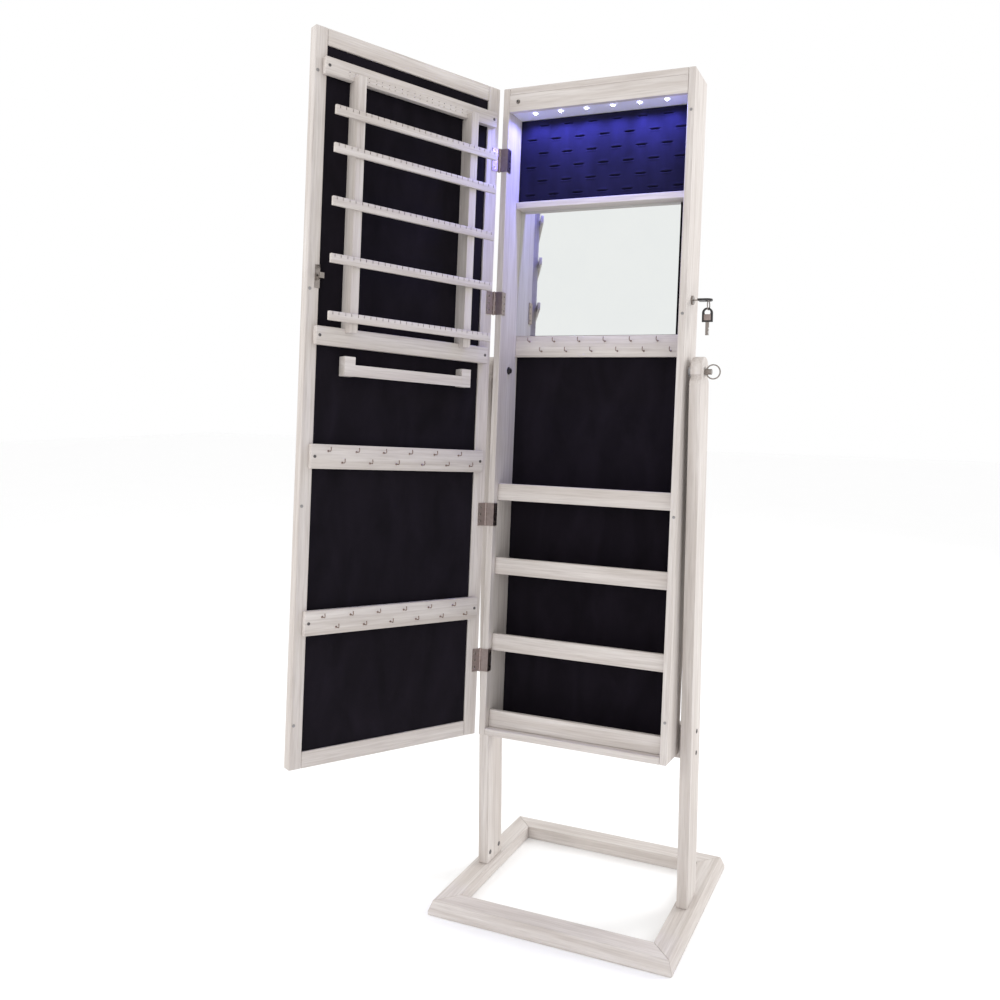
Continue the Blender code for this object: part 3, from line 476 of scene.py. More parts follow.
class ArmoireFinish(bpy.types.PropertyGroup):
    """Colours and strengths of the finishes"""

    wood_white: colour_property("Whitewash", "Ground colour of the wood", (0.675, 0.63, 0.60))
    wood_shade: colour_property("Figure", "Colour of the broad figure under the white",
                                (0.50, 0.445, 0.405))
    wood_streak: colour_property("Streaks", "Colour of the long streaks", (0.40, 0.345, 0.31))
    wood_pore: colour_property("Pores", "Colour of the fine pores", (0.28, 0.23, 0.20))
    grain_strength: share_property("Grain", "How strongly the streaks show", 0.42)
    velvet_colour: colour_property("Velvet", "Pile colour of the linings", (0.0052, 0.0036, 0.0068))
    # the pad's blue is painted light from the lamps, over the same dark velvet as the linings
    pad_colour_painted_glow: colour_property("Pad velvet", "Pile colour of the ring pad",
                                (0.0062, 0.0056, 0.0250))
    velvet_sheen: share_property("Sheen", "Sheen of the velvet", 0.06)
    nickel_colour: colour_property("Nickel", "Thumb-screws and lock", (0.32, 0.285, 0.262))
    hook_colour: colour_property("Hooks", "Necklace hooks", (0.34, 0.26, 0.225))
    hinge_colour: colour_property("Hinges", "Butt hinges", (0.38, 0.31, 0.29))
    # the lavender in this colour is painted glow from the lamps over white plastic
    lamp_colour_painted_glow: colour_property("Lamp panel", "Moulding that holds the lamps", (0.78, 0.78, 0.86))
    glow_colour: colour_property("Glow", "Colour of the lamps", (0.62, 0.72, 1.0))
    glow_light: colour_property("Glow on surfaces", "Colour that the lamps throw",
                                (0.24, 0.25, 1.0))
    glow_power: bpy.props.FloatProperty(name="Glow power", description="Power of a lamp, in watts",
                                        default=0.85, min=0.0, soft_max=5.0)
    lens_strength: bpy.props.FloatProperty(name="Lens", description="Brightness of a lens",
                                           default=30.0, min=0.0, soft_max=60.0)


class ArmoireSizes(bpy.types.PropertyGroup):
    """Sizes of the details"""

    soft_edge: length_property("Soft edge", "Rounding of the small boards", 0.0009)
    lining: length_property("Lining", "Thickness of the velvet linings", 0.0011)
    screw_head: length_property("Screw head", "Radius of the cross-head screws", 0.0026)
    hook_wire: length_property("Hook wire", "Radius of a hook's wire", 0.00085)
    hook_reach: length_property("Hook reach", "How far a hook stands out", 0.0115)
    hook_rise: length_property("Hook rise", "Height of a hook's tip", 0.0062)
    slit_length: length_property("Ring slit", "Length of a slit in the ring pad", 0.017)
    slit_depth: length_property("Slit depth", "Depth of a slit in the ring pad", 0.0048)
    notch_width: length_property("Notch", "Width of an earring notch", 0.0012)
    notch_depth: length_property("Notch depth", "Depth of an earring notch", 0.0045)
    magnet: length_property("Magnet", "Radius of a door magnet", 0.0026)
    ring_rows: count_property("Ring rows", "Rows of slits in the ring pad", 6, 1, 12)
    lamps: count_property("Lamps", "Lamps under the panel", 6, 2, 12)
    hooks: count_property("Hooks", "Hooks on each hook board", 12, 2, 24)


def settings():
    return bpy.context.scene.armoire_finish, bpy.context.scene.armoire_sizes


def chosen():
    """The finishes, made from the panel's colours, and the panel's sizes."""
    look, sizes = settings()
    return finishes(look), sizes


# ---- finishes on the frame's own nodes ----
class ARMOIRE_OT_frame_finishes(bpy.types.Operator):
    """Gives the boards, glass, hinges and lock of the frame their finishes"""

    bl_idname = "armoire.frame_finishes"
    bl_label = "Finish Frame"

    def execute(self, context):
        finish, _ = chosen()
        coats = {
            "stand_across": ("base_rail_front", "base_rail_back", "post_stretcher"),
            "stand_deep": ("base_rail_left", "base_rail_right"),
            "stand_upright": ("post_left", "post_right"),
            "cabinet_upright": ("cabinet_side_left", "cabinet_side_right"),
            "cabinet_across": ("cabinet_top", "cabinet_bottom", "light_valance", "ring_ledge",
                               *("shelf_%d" % number for number in (2, 3, 4)),
                               *("tray_lip_%d" % number for number in (1, 2, 3, 4))),
            "door_upright": ("door_hinge_stile", "door_free_stile", "earring_upright_hinge_side",
                             "earring_upright_free_side"),
            "door_across": ("door_top_rail", "door_bottom_rail", "earring_lower_board",
                            "bracelet_holder"),
            "cabinet_glass": ("inner_mirror",),
            "door_glass": ("door_mirror",),
            # light panel: white plastic with the lamps' glow painted in as a lavender tint
            "lamp_body_painted_glow": ("light_panel",),
            "nickel": ("lock_cam", "lock_housing", "lock_plug", "lock_strike", "thumb_screw_left",
                       "thumb_screw_right", "light_switch_plunger"),
        }
        for key, names in coats.items():
            for name in names:
                refinish(name, finish[key])
        for number in (1, 2, 3, 4):
            refinish("hinge_%d_cabinet_leaf" % number, finish["bronze"])
            refinish("hinge_%d_door_leaf" % number, finish["bronze"])
        return {"FINISHED"}


# ---- linings ----
GLUE_LINE = 0.0001                  # between a back board and its velvet


def lined_board(node, space, body, towards, board_name, lining_name, wood, cloth, thickness):
    """A back board and the velvet glued over its inner face, in place of one plain node."""
    low, high = local_box(node, space)
    board, lining = bmesh.new(), bmesh.new()
    if towards > 0:
        split = high.y - thickness
        spans = (low.y, split - GLUE_LINE), (split, high.y)
    else:
        split = low.y + thickness
        spans = (split + GLUE_LINE, high.y), (low.y, split)
    for bm, (start, end) in zip((board, lining), spans):
        add_box(bm, (low.x, start, low.z), (high.x, end, high.z))
    bmesh.ops.subdivide_edges(lining, edges=lining.edges[:], cuts=11, use_grid_fill=True)
    finish_piece(board_name, board, wood, body, space, stands_for=(node,))
    sheet = finish_piece(lining_name, lining, cloth, body, space)


class ARMOIRE_OT_linings(bpy.types.Operator):
    """Covers the cabinet's back and the door's board with velvet"""

    bl_idname = "armoire.linings"
    bl_label = "Velvet Linings"

    def execute(self, context):
        finish, sizes = chosen()
        lined_board("cabinet_back", CABINET, "cabinet", -1, "cabinet_back_board", "cabinet_lining",
                    finish["cabinet_upright"], finish["cabinet_velvet"], sizes.lining)
        lined_board("door_lined_board", DOOR, "door", 1, "door_back_board", "door_lining",
                    finish["door_upright"], finish["door_velvet"], sizes.lining)
        return {"FINISHED"}


# ---- ring pad ----
PAD_INSET = 0.0006                  # its face behind the box that holds it
PAD_CELLS = 0.0019, 0.0008          # its mesh, across and up
PAD_COLUMNS = 7                     # slits in a full row
SLIT_SPREAD = 0.0009                # how wide a slit gapes
LIP_RISE, LIP_AWAY, LIP_SPREAD = 0.0011, 0.0024, 0.0020
PAD_ROLL, PAD_ROLL_WIDTH = 0.0030, 0.0035


class ARMOIRE_OT_ring_pad(bpy.types.Operator):
    """Foam pad under velvet, with staggered slits that hold rings"""

    bl_idname = "armoire.ring_pad"
    bl_label = "Ring Pad"

    def execute(self, context):
        finish, sizes = chosen()
        low, high = local_box("ring_pad", CABINET)
        width, height = high.x - low.x, high.z - low.z
        bm = bmesh.new()
        centre = (low.x + high.x) / 2, low.y + PAD_INSET, (low.z + high.z) / 2
        place = Matrix.Translation(centre) @ Matrix.Rotation(math.pi / 2, 4, "X")
        bmesh.ops.create_grid(bm, x_segments=int(width / PAD_CELLS[0]),
                              y_segments=int(height / PAD_CELLS[1]), size=0.5,
                              matrix=place @ Matrix.Diagonal((width, height, 1, 1)))
        row_pitch = height / sizes.ring_rows
        pitch = width / PAD_COLUMNS
        half = sizes.slit_length / 2
        for vertex in bm.verts:
            across, up = vertex.co.x - low.x, vertex.co.z - low.z
            row = min(sizes.ring_rows - 1, max(0, int(up / row_pitch)))
            off = up - (row + 0.5) * row_pitch
            shifted = row % 2 == 0
            column = across / pitch - (0.0 if shifted else 0.5)
            if not shifted and not 0 < column < PAD_COLUMNS - 1:
                near = 1.0
            else:
                near = abs((column % 1.0 - 0.5) * pitch)
            along = max(0.0, 1 - max(0.0, near - half * 0.8) / (half * 0.4))
            slit = sizes.slit_depth * math.exp(-(off / SLIT_SPREAD) ** 2) * along
            lip = LIP_RISE * math.exp(-((abs(off) - LIP_AWAY) / LIP_SPREAD) ** 2) * along
            rim = min(across, width - across, up, height - up)
            roll = PAD_ROLL * max(0.0, 1 - rim / PAD_ROLL_WIDTH) ** 2
            vertex.co.y += slit - lip * 0.5 + roll
        back, edges = extruded(bm, [edge for edge in bm.edges if edge.is_boundary])
        for vertex in back:
            vertex.co.y = high.y
        bmesh.ops.contextual_create(bm, geom=edges)
        # pad velvet with the lamps' blue light painted into its colour
        pad = finish_piece("ring_pad_foam", bm, finish["pad_velvet"], "cabinet", CABINET, 60,
                           ("ring_pad",))
        return {"FINISHED"}


# ---- lamps ----
LAMP_LENS, LAMP_RIM = 0.0026, 0.0054
LAMP_SET_BACK = 0.0135              # from the panel's front
LAMP_SPREAD = 0.3735                # outermost lamps from the middle, in panel lengths


class ARMOIRE_OT_lamps(bpy.types.Operator):
    """Six lamps under the panel, with their glow, and the switch's bezel"""

    bl_idname = "armoire.lamps"
    bl_label = "Lamps"

    def execute(self, context):
        finish, sizes = chosen()
        look, _ = settings()
        low, high = local_box("light_panel", CABINET)
        front = low.y + LAMP_SET_BACK
        spread = (high.x - low.x) * LAMP_SPREAD
        cups, lenses = bmesh.new(), bmesh.new()
        for number, x in enumerate(spaced(-spread, spread, sizes.lamps), 1):
            seat = Matrix.Translation((x, front, low.z)) @ Matrix.Rotation(math.pi, 4, "X")
            add_turned(cups, seat, ((LAMP_LENS, -0.0003), (LAMP_RIM, -0.0003), (LAMP_RIM, 0.0004),
                                    (0.0048, 0.0009), (0.0029, 0.0009), (LAMP_LENS, 0.0005),
                                    (LAMP_LENS, -0.0003)))
            dome = [(LAMP_LENS * math.cos(angle), 0.0003 + LAMP_LENS * math.sin(angle))
                    for angle in (0, 0.3, 0.6, 0.9, 1.2, 1.54)]
            add_turned(lenses, seat, [(LAMP_LENS, -0.0002), *dome], 20)
            glow = bpy.data.lights.new("lamp_glow_%d" % number, "SPOT")
            glow.color = look.glow_light
            glow.energy = look.glow_power
            glow.spot_size = math.radians(165)
            glow.spot_blend = 0.6
            glow.shadow_soft_size = 0.003
            source = bpy.data.objects.new(glow.name, glow)
            bpy.context.scene.collection.objects.link(source)
            source.matrix_world = CABINET @ Matrix.Translation((x, front, low.z - 0.0036))
            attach(source, "cabinet")
        bmesh.ops.holes_fill(lenses, edges=lenses.edges, sides=0)
        # the cups carry a painted halo glow, the lenses the lamps' own light
        finish_piece("lamp_cups", cups, finish["lens_rim"], "cabinet", CABINET)
        finish_piece("lamp_lenses", lenses, finish["lens"], "cabinet", CABINET)
        low, high = local_box("light_switch_plunger", CABINET)
        x, z = (low.x + high.x) / 2, (low.z + high.z) / 2
        radius = (high.x - low.x) / 2
        bezel = bmesh.new()
        seat = facing((x, 0, z), -Y)
        ring = ((0.0002, 0.0), (0.0010, 0.0), (0.0010, 0.0003), (0.0007, 0.0006), (0.0004, 0.0006),
                (0.0002, 0.0004), (0.0002, 0.0))
        add_turned(bezel, seat, [(radius + past, height) for past, height in ring], 28)
        finish_piece("switch_bezel", bezel, finish["nickel"], "cabinet", CABINET)
        dot = bmesh.new()
        add_rod(dot, (x, low.y + 0.0001, z), (x, low.y - 0.0002, z), radius * 0.62, 24)
        finish_piece("switch_dot", dot, finish["black_plastic"], "light_switch", CABINET)
        return {"FINISHED"}


# ---- hooks ----
HOOK_BEND = 0.0028                  # middle of the wire round its bend
HOOK_TURN = math.radians(100)
HOOK_SINK = 0.0005                  # how far a hook's root goes into its board
HOOK_MARGIN = 0.0296                # last hook to the board's end
HOOK_STAGGER = 0.00925              # either way from the board's middle


def add_hook(bm, root, out, reach, rise, wire):
    """A hook of bent wire: straight out of the board, then round and up to a blunt tip."""
    straight = reach - HOOK_BEND - wire
    made = bmesh.ops.create_circle(bm, segments=8, radius=wire, cap_ends=True,
                                   matrix=facing(root - out * HOOK_SINK, out))
    edges = list({edge for vertex in made["verts"] for edge in vertex.link_edges
                  if len(edge.link_faces) <= 1})
    verts, edges = extruded(bm, edges)
    bmesh.ops.translate(bm, verts=verts, vec=out * straight)
    centre = root + out * (straight - HOOK_SINK) + Z * HOOK_BEND
    spun = bmesh.ops.spin(bm, geom=edges, cent=centre, axis=out.cross(Z), angle=HOOK_TURN, steps=6,
                          use_merge=False)["geom_last"]
    verts, edges = extruded(bm, [item for item in spun if isinstance(item, bmesh.types.BMEdge)])
    along = (out * math.cos(HOOK_TURN) + Z * math.sin(HOOK_TURN)).normalized()
    bmesh.ops.translate(bm, verts=verts, vec=along * (rise - HOOK_BEND))
    verts, edges = extruded(bm, edges)
    middle = sum((vertex.co for vertex in verts), Vector()) / len(verts)
    tip = along * wire * 0.6
    bmesh.ops.translate(bm, verts=verts, vec=tip)
    bmesh.ops.scale(bm, vec=(0.55, 0.55, 0.55), verts=verts,
                    space=Matrix.Translation(-middle - tip))
    bmesh.ops.contextual_create(bm, geom=edges)
    add_turned(bm, facing(root, out), ((wire, -0.0001), (wire * 2.3, -0.0001),
                                       (wire * 2.1, 0.0004), (wire, 0.0008)), 12)


def hook_board(node, space, body, out, wood, wire_finish, sizes):
    """A plain board and its bent-wire hooks, in place of one node."""
    low, high = local_board(node, space)
    board = bmesh.new()
    add_box(board, low, high, sizes.soft_edge)
    finish_piece(node + "_wood", board, wood, body, space,
                 stands_for=(node,))
    face = high.y if out > 0 else low.y
    middle = (low.z + high.z) / 2
    hooks = bmesh.new()
    places = spaced(low.x + HOOK_MARGIN, high.x - HOOK_MARGIN, sizes.hooks)
    for index, x in enumerate(places):
        from_left = index if out < 0 else sizes.hooks - 1 - index
        z = middle + (HOOK_STAGGER if from_left % 2 == 0 else -HOOK_STAGGER)
        add_hook(hooks, Vector((x, face, z)), Y * out, sizes.hook_reach, sizes.hook_rise,
                 sizes.hook_wire)
    finish_piece(node + "_hooks", hooks, wire_finish, body, space, 50)


class ARMOIRE_OT_hooks(bpy.types.Operator):
    """Three hook boards with a staggered row of bent-wire hooks each"""

    bl_idname = "armoire.hooks"
    bl_label = "Hook Boards"

    def execute(self, context):
        finish, sizes = chosen()
        hook_board("inner_hook_board", CABINET, "cabinet", -1, finish["cabinet_across"],
                   finish["hook_metal"], sizes)
        for name in ("door_hook_board_upper", "door_hook_board_lower"):
            hook_board(name, DOOR, "door", 1, finish["door_across"], finish["hook_metal"], sizes)
        return {"FINISHED"}


# ---- earring rack ----
PAIR_MARGIN = 0.012                 # middle of the last pair to the end of its row
PAIR_APART = 0.0105
NOTCH_PAIRS, HOLE_PAIRS = 14, 11
HOLE_ROWS = 0.0065, 0.0125          # above the top board's lower edge
HOLE_RADIUS, HOLE_DEPTH = 0.00085, 0.006
HOLE_MARGIN = 0.035                 # the rows of holes stop short of the board's ends
OVERCUT = 0.002                     # how far a cutter reaches past what it cuts


def pair_places(low, high, pairs):
    """Places of the holes or notches: pairs spaced evenly from end to end."""
    middles = spaced(low + PAIR_MARGIN, high - PAIR_MARGIN, pairs)
    return [middle + side * PAIR_APART / 2 for middle in middles for side in (-1, 1)]


class ARMOIRE_OT_earring_rack(bpy.types.Operator):
    """Notched bars and the drilled board that earrings hang from"""

    bl_idname = "armoire.earring_rack"
    bl_label = "Earring Rack"

    def execute(self, context):
        finish, sizes = chosen()
        for number in range(1, 6):
            node = "earring_bar_%d" % number
            low, high = local_box(node, DOOR)
            bar, cuts = bmesh.new(), bmesh.new()
            add_box(bar, low, high, sizes.soft_edge)
            half = sizes.notch_width / 2
            front, back = low.y - OVERCUT, high.y + OVERCUT
            foot = high.z - sizes.notch_depth
            for x in pair_places(low.x, high.x, NOTCH_PAIRS):
                add_box(cuts, (x - half, front, foot), (x + half, back, high.z + OVERCUT))
                add_rod(cuts, (x, front, foot), (x, back, foot), half * 1.45, 12)
            finish_piece(node + "_notched", carved(bar, cuts), finish["door_across"], "door", DOOR,
                         stands_for=(node,))
        node = "earring_top_board"
        low, high = local_box(node, DOOR)
        board, cuts = bmesh.new(), bmesh.new()
        add_box(board, low, high, sizes.soft_edge)
        for x in pair_places(low.x + HOLE_MARGIN, high.x - HOLE_MARGIN, HOLE_PAIRS):
            for row in HOLE_ROWS:
                add_rod(cuts, (x, high.y - HOLE_DEPTH, low.z + row),
                        (x, high.y + OVERCUT, low.z + row), HOLE_RADIUS, 12)
        finish_piece(node + "_drilled", carved(board, cuts), finish["door_across"], "door", DOOR,
                     stands_for=(node,))
        return {"FINISHED"}


# ---- screws and other fasteners ----
HINGE_SCREW_PARTS = 0.2, 0.5, 0.8   # places of a leaf's screws, as shares of its length
HINGE_SCREW_SIZE, POST_BOLT_SIZE = 0.9, 1.6     # against the plain screws
CABINET_SCREW_CROWN, DOOR_SCREW_CROWN = 0.2, 0.12   # low, so the closed leaves clear them
BOARD_SCREW_INSET, BOLT_INSET = 0.0065, 0.011
DOWEL_APART, DOWEL_HEIGHT = 0.0185, 0.045


def cross_heads(places, radius, crown=0.34):
    """Domed screw heads with a cross recess, at (point, direction, turn) places."""
    heads, recesses = bmesh.new(), bmesh.new()
    for at, towards, turn in places:
        seat = facing(at, towards) @ Matrix.Rotation(turn, 4, "Z")
        rise = radius * crown
        dome = [(radius * math.cos(angle), rise * (0.25 + 0.75 * math.sin(angle)))
                for angle in (0.15, 0.5, 0.85, 1.2, 1.5)]
        add_turned(heads, seat, [(radius, -0.0002), *dome], 16)
        arm, half = radius * 0.62, radius * 0.12
        for size in ((arm, half), (half, arm)):
            slot = bmesh.new()
            add_box(slot, (-size[0], -size[1], rise * 0.35), (size[0], size[1], rise * 2))
            slot.transform(seat)
            mesh = bm_mesh("slot", slot)
            recesses.from_mesh(mesh)
            bpy.data.meshes.remove(mesh)
    bmesh.ops.holes_fill(heads, edges=heads.edges, sides=0)
    return carved(heads, recesses)


class ARMOIRE_OT_screws(bpy.types.Operator):
    """Screws of the hinges and boards, bolts of the posts and their cross-dowels"""

    bl_idname = "armoire.screws"
    bl_label = "Screws"

    def execute(self, context):
        finish, sizes = chosen()
        radius = sizes.screw_head
        fixed, moving = [], []
        for number in (1, 2, 3, 4):
            low, high = local_box("hinge_%d_cabinet_leaf" % number, CABINET)
            for part in HINGE_SCREW_PARTS:
                at = (high.x, high.y - 0.0052, low.z + (high.z - low.z) * part)
                fixed.append((at, X, number + part))
            low, high = local_box("hinge_%d_door_leaf" % number, DOOR)
            plate = local_plate("hinge_%d_door_leaf" % number, DOOR)
            for part in HINGE_SCREW_PARTS:
                at = (high.x - 0.0045, plate, low.z + (high.z - low.z) * part)
                moving.append((at, Y, number * 2 + part))
        for name, places, crown, body, space in (
                ("hinge_screws_cabinet", fixed, CABINET_SCREW_CROWN, "cabinet", CABINET),
                ("hinge_screws_door", moving, DOOR_SCREW_CROWN, "door", DOOR)):
            heads = cross_heads(places, radius * HINGE_SCREW_SIZE, crown)
            finish_piece(name, heads, finish["nickel"], body, space)
        boards = []
        for name in ("earring_top_board", "earring_lower_board", "door_hook_board_upper",
                     "door_hook_board_lower"):
            low, high = local_board(name, DOOR)
            for side, x in ((-1, low.x + BOARD_SCREW_INSET), (1, high.x - BOARD_SCREW_INSET)):
                boards.append(((x, high.y, (low.z + high.z) / 2), Y, x * 40 + side))
        finish_piece("board_screws", cross_heads(boards, radius), finish["steel"], "door", DOOR)
        low, high = local_box("post_stretcher", WORLD)
        post_low, post_high = local_box("post_right", WORLD)
        heads, dowels = [], bmesh.new()
        for side in (-1, 1):
            for z in (low.z + BOLT_INSET, high.z - BOLT_INSET):
                heads.append(((side * post_high.x, (low.y + high.y) / 2, z), X * side, z * 9))
            for shift in (-DOWEL_APART, DOWEL_APART):
                at = Vector((side * post_low.x, PIVOT.y + shift, DOWEL_HEIGHT))
                add_turned(dowels, facing(at, -X * side), ((0.0044, -0.0005), (0.0044, 0.0002),
                                                          (0.0040, 0.0006), (0.0012, 0.0006)))
        finish_piece("post_bolts", cross_heads(heads, radius * POST_BOLT_SIZE), finish["steel"],
                     "stand")
        bmesh.ops.holes_fill(dowels, edges=dowels.edges, sides=0)
        finish_piece("cross_dowels", dowels, finish["steel"], "stand")
        return {"FINISHED"}


# ---- magnets ----
MAGNET_PARTS = 0.0617, 0.3575, 0.6492, 0.9392   # heights, as shares of the cabinet's
MAGNET_INSET = 0.0055               # from the cabinet's outer face
MAGNET_SINK, MAGNET_RISE = 0.0004, 0.0007


class ARMOIRE_OT_magnets(bpy.types.Operator):
    """Round magnets in the cabinet's edge and the steel discs that meet them"""

    bl_idname = "armoire.magnets"
    bl_label = "Magnets"

    def execute(self, context):
        finish, sizes = chosen()
        _, high = local_box("cabinet_side_right", CABINET)
        _, door_high = local_box("door_free_stile", DOOR)
        magnets, discs = bmesh.new(), bmesh.new()
        for part in MAGNET_PARTS:
            x, z = high.x - MAGNET_INSET, part * high.z
            for bm, sunk, proud in ((magnets, MAGNET_SINK, -MAGNET_RISE),
                                    (discs, door_high.y - MAGNET_SINK, door_high.y + MAGNET_RISE)):
                add_rod(bm, (x, sunk, z), (x, proud, z), sizes.magnet, 28, 0.0003)
        finish_piece("door_magnets", magnets, finish["magnet"], "cabinet", CABINET)
        finish_piece("magnet_discs", discs, finish["magnet"], "door", DOOR)
        return {"FINISHED"}


# ---- keys ----
BOW_LENGTH, BOW_HALF, BOW_THICKNESS = 0.025, 0.0095, 0.0032
EYE_START, EYE_LENGTH, EYE_HALF = 0.0155, 0.0065, 0.0055
BLADE_TIP, BLADE_HALF = -0.0228, 0.0032
RING_WIRE = 0.0005


def bow_shape(start, length, half_width, thickness, sides=40):
    """A key bow that is square at its start and round at its far end, flat in x and y."""
    centre = start + length - half_width
    block, round_end = bmesh.new(), bmesh.new()
    add_box(block, (start, -half_width, -thickness / 2), (centre, half_width, thickness / 2))
    add_rod(round_end, (centre, 0, -thickness / 2), (centre, 0, thickness / 2), half_width, sides)
    return carved(block, round_end, "UNION")


def soften_shape(bm, width, angle=35):
    bmesh.ops.remove_doubles(bm, verts=bm.verts, dist=1e-6)
    bmesh.ops.dissolve_limit(bm, angle_limit=math.radians(1), verts=bm.verts, edges=bm.edges)
    edges = [edge for edge in bm.edges
             if edge.is_manifold and edge.calc_face_angle(0) > math.radians(angle)]
    bmesh.ops.bevel(bm, geom=edges, offset=width, segments=2, profile=0.5, affect="EDGES",
                    material=-1, clamp_overlap=True)
    return bm


def key_parts(place):
    """A moulded bow with an eye, its cut blade and its metal badge; x runs along the key."""
    bow = bow_shape(0.0, BOW_LENGTH, BOW_HALF, BOW_THICKNESS)
    bow = carved(bow, bow_shape(EYE_START, EYE_LENGTH, EYE_HALF, 0.01))
    bow = soften_shape(bow, 0.0005)
    blade, cuts = bmesh.new(), bmesh.new()
    add_box(blade, (BLADE_TIP, -BLADE_HALF, -0.0009), (0.003, BLADE_HALF, 0.0009), 0.0003)
    for x, depth in ((-0.0205, 0.0012), (-0.0172, 0.0018), (-0.0139, 0.0009), (-0.0106, 0.0015)):
        add_box(cuts, (x - 0.0009, BLADE_HALF - depth, -0.002), (x + 0.0009, 0.006, 0.002))
    add_box(cuts, (-0.024, -0.0006, 0.0005), (-0.002, 0.0008, 0.002))
    blade = carved(blade, cuts)
    emblem = bmesh.new()
    add_box(emblem, (0.0030, -0.0062, 0.0014), (0.0135, 0.0062, 0.0018), 0.0003)
    for shape in (bow, blade, emblem):
        shape.transform(place)
    return bow, blade, emblem


def spare_place():
    """Frame of the spare key: x of the key points down, its flat faces front and back."""
    low, high = local_box("spare_key", WORLD)
    middle = (low + high) / 2
    turn = Matrix(((0, 1, 0), (0, 0, 1), (-1, 0, 0))).to_4x4()
    half_turn = Matrix.Rotation(math.pi, 4, "Z")
    place = Matrix.Translation((middle.x, middle.y, high.z)) @ half_turn @ turn
    return place @ Matrix.Translation((BOW_LENGTH, 0, 0)) @ half_turn


class ARMOIRE_OT_keys(bpy.types.Operator):
    """The key in the lock, the spare and the ring that joins them"""

    bl_idname = "armoire.keys"
    bl_label = "Keys"

    def execute(self, context):
        finish, _ = chosen()
        low, high = local_box("key", CABINET)
        middle = (low + high) / 2
        place = CABINET @ Matrix.Translation((high.x - BOW_LENGTH, middle.y, middle.z))
        for name, node, body, space in (("key", "key", "lock", place),
                                        ("spare", "spare_key", "spare_key_body", spare_place())):
            bow, blade, emblem = key_parts(space)
            finish_piece(name + "_bow", bow, finish["black_plastic"], body,
                         stands_for=(node,))
            finish_piece(name + "_blade", blade, finish["nickel"], body)
            finish_piece(name + "_badge", emblem, finish["bronze"], body)
        ring = bmesh.new()
        spare_low, spare_high = local_box("spare_key", WORLD)
        lock = CABINET @ middle
        # hangs in both eyes, clear of their rims at rest and at each joint's own limits
        top, bottom = lock.z - 0.0012, spare_high.z - 0.0046
        centre = Vector(((spare_low.x + spare_high.x) / 2 + 0.0015, lock.y, (top + bottom) / 2))
        for shift in (-RING_WIRE, RING_WIRE):
            add_ring(ring, facing(centre + X * shift, X), (top - bottom) / 2, RING_WIRE)
        finish_piece("key_ring", ring, finish["nickel"], "spare_key_body", smooth=60)
        return {"FINISHED"}


# ---- pivot hardware ----
PIVOT_BORE, WASHER_BORE = 0.0034, 0.0051


class ARMOIRE_OT_pivots(bpy.types.Operator):
    """Spacers, washers and inner nuts on the tilt axis, the washers under the thumb-screws"""

    bl_idname = "armoire.pivots"
    bl_label = "Tilt Pivots"

    def execute(self, context):
        finish, _ = chosen()
        low, high = local_box("post_right", WORLD)
        inner_low, cabinet_high = local_box("cabinet_side_right", CABINET)
        spacers, nuts, washers = bmesh.new(), bmesh.new(), bmesh.new()
        depth = low.x - cabinet_high.x
        spacer = ((PIVOT_BORE, 0.0002), (0.0078, 0.0002), (0.0084, 0.0008),
                  (0.0084, depth - 0.0008), (0.0078, depth - 0.0002),
                  (PIVOT_BORE, depth - 0.0002), (PIVOT_BORE, 0.0002))
        nut = ((PIVOT_BORE, 0.0), (0.0072, 0.0), (0.0072, 0.0008), (0.0052, 0.0012),
               (0.0050, 0.0046), (0.0044, 0.0051), (PIVOT_BORE, 0.0051), (PIVOT_BORE, 0.0))
        washer = ((WASHER_BORE, 0.0), (0.0082, 0.0), (0.0082, 0.0004), (0.0079, 0.0007),
                  (WASHER_BORE, 0.0007), (WASHER_BORE, 0.0))
        for side in (-1, 1):
            for bm, x, towards, profile, sides in ((spacers, cabinet_high.x, side, spacer, 32),
                                                   (nuts, inner_low.x, -side, nut, 12),
                                                   (washers, high.x, side, washer, 36)):
                at = Vector((side * x, PIVOT.y, PIVOT.z))
                add_turned(bm, facing(at, X * towards), profile, sides)
        finish_piece("pivot_spacers", spacers, finish["white_plastic"], "stand")
        finish_piece("pivot_nuts", nuts, finish["black_plastic"], "cabinet")
        finish_piece("thumb_screw_washers", washers, finish["nickel"], "stand")
        return {"FINISHED"}


# ---- stage ----
# name, place, aim, diameter and power of each soft light
LIGHTS = (("key_light", (2.4, 2.2, 2.0), (0, 0.1, 0.8), 1.8, 50),
          ("fill_light", (-1.7, -2.7, 1.9), (0, 0.1, 0.9), 1.6, 27))
CAMERA_PLACE = 0.6062, -1.4128, 0.9447
CAMERA_LEFT, CAMERA_DOWN, CAMERA_ROLL = 22.121, 4.519, 0.8526   # degrees
CAMERA_LENS, CAMERA_SHIFT = 33.22, (-0.0721, -0.0334)


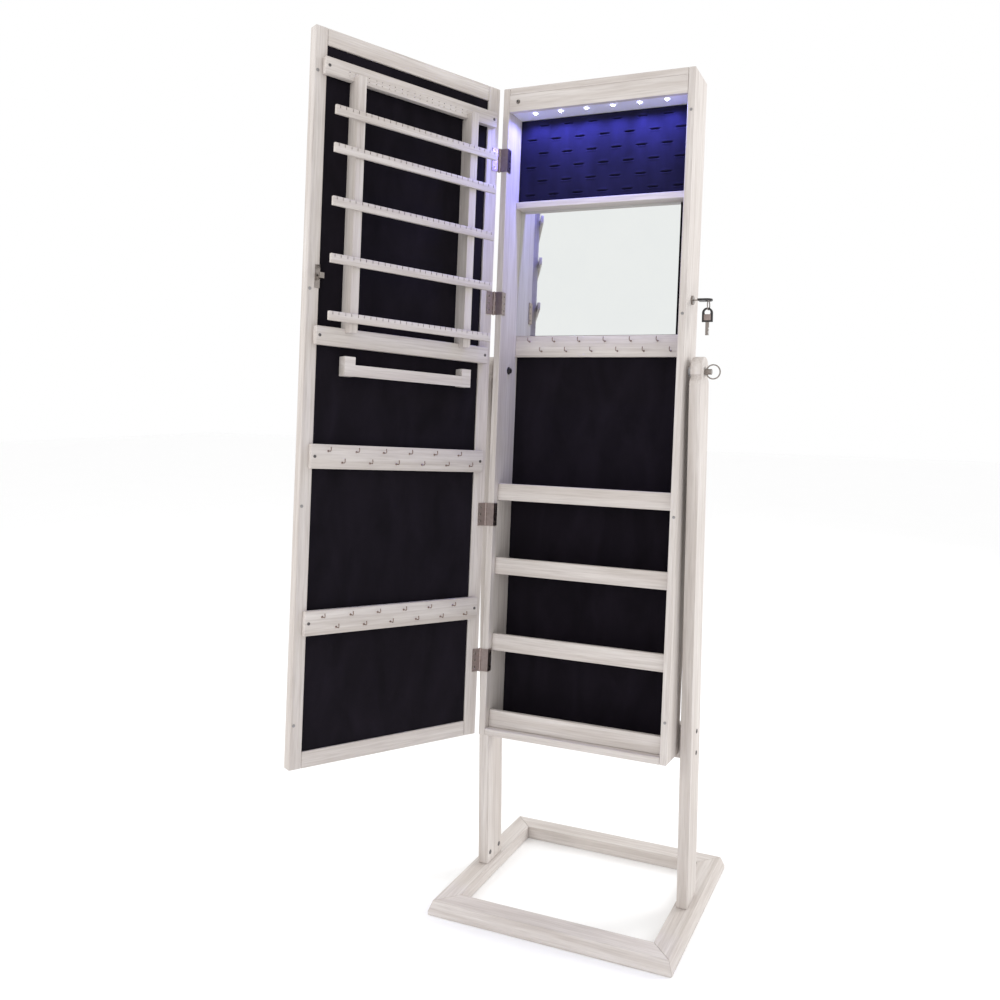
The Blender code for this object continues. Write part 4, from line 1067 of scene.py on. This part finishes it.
class ARMOIRE_OT_stage(bpy.types.Operator):
    """Plain pale floor and backdrop, soft lights and the camera"""

    bl_idname = "armoire.stage"
    bl_label = "Stage"

    def execute(self, context):
        material, tree, shader = new_material("pale_paper")
        plain = mapped(tree, (0, 0, 0), (1, 1, 1))
        tone = mix(tree, noise(tree, plain, 3, 3), (0.975, 0.975, 0.975), (0.99, 0.99, 0.99))
        tree.links.new(tone, shader.inputs["Base Color"])
        shader.inputs["Roughness"].default_value = 0.8
        bm = bmesh.new()
        bmesh.ops.create_grid(bm, x_segments=1, y_segments=1, size=14,
                              matrix=Matrix.Translation((0, 0, -0.0005)))
        mesh = bm_mesh("floor", bm)
        mesh.materials.append(material)
        floor = bpy.data.objects.new("floor", mesh)
        bpy.context.scene.collection.objects.link(floor)
        world = bpy.data.worlds.new("studio")
        world.use_nodes = True
        background = world.node_tree.nodes["Background"]
        background.inputs["Color"].default_value = (1.0, 1.0, 1.0, 1)
        background.inputs["Strength"].default_value = 1.0
        bpy.context.scene.world = world
        bpy.context.scene.view_settings.view_transform = "Standard"
        for name, at, aim, size, power in LIGHTS:
            light = bpy.data.lights.new(name, "AREA")
            light.shape, light.size, light.energy = "DISK", size, power
            lamp = bpy.data.objects.new(name, light)
            lamp.visible_glossy = False
            bpy.context.scene.collection.objects.link(lamp)
            lamp.matrix_world = facing(at, Vector(at) - Vector(aim))
        camera_data = bpy.data.cameras.new("camera")
        camera_data.sensor_width = 36.0
        camera_data.lens = CAMERA_LENS
        camera_data.shift_x, camera_data.shift_y = CAMERA_SHIFT
        camera_data.clip_start, camera_data.clip_end = 0.05, 60
        camera = bpy.data.objects.new("camera", camera_data)
        bpy.context.scene.collection.objects.link(camera)
        turn = Matrix.Rotation(math.radians(CAMERA_LEFT), 4, "Z")
        turn = turn @ Matrix.Rotation(math.radians(90 - CAMERA_DOWN), 4, "X")
        turn = turn @ Matrix.Rotation(math.radians(CAMERA_ROLL), 4, "Z")
        camera.matrix_world = Matrix.Translation(CAMERA_PLACE) @ turn
        bpy.context.scene.camera = camera
        return {"FINISHED"}


# ---- panel and registration ----
STEPS = (ARMOIRE_OT_frame_finishes, ARMOIRE_OT_linings, ARMOIRE_OT_ring_pad, ARMOIRE_OT_lamps,
         ARMOIRE_OT_hooks, ARMOIRE_OT_earring_rack, ARMOIRE_OT_screws, ARMOIRE_OT_magnets,
         ARMOIRE_OT_keys, ARMOIRE_OT_pivots, ARMOIRE_OT_stage)


class ARMOIRE_PT_panel(bpy.types.Panel):
    """Steps and settings of the armoire"""

    bl_idname = "ARMOIRE_PT_panel"
    bl_label = "Jewelry Armoire"
    bl_space_type = "VIEW_3D"
    bl_region_type = "UI"
    bl_category = "Armoire"

    def draw(self, context):
        for group in settings():
            box = self.layout.box()
            for key in group.__annotations__:
                box.prop(group, key)
        for step in STEPS:
            self.layout.operator(step.bl_idname)


CLASSES = (ArmoireFinish, ArmoireSizes, *STEPS, ARMOIRE_PT_panel)


def register():
    for made in CLASSES:
        bpy.utils.register_class(made)
    bpy.types.Scene.armoire_finish = bpy.props.PointerProperty(type=ArmoireFinish)
    bpy.types.Scene.armoire_sizes = bpy.props.PointerProperty(type=ArmoireSizes)


def unregister():
    del bpy.types.Scene.armoire_finish
    del bpy.types.Scene.armoire_sizes
    for made in reversed(CLASSES):
        bpy.utils.unregister_class(made)


def main():
    register()
    for step in STEPS:
        group, name = step.bl_idname.split(".")
        getattr(getattr(bpy.ops, group), name)()
    bpy.context.view_layer.update()


if __name__ == "__main__":
    main()
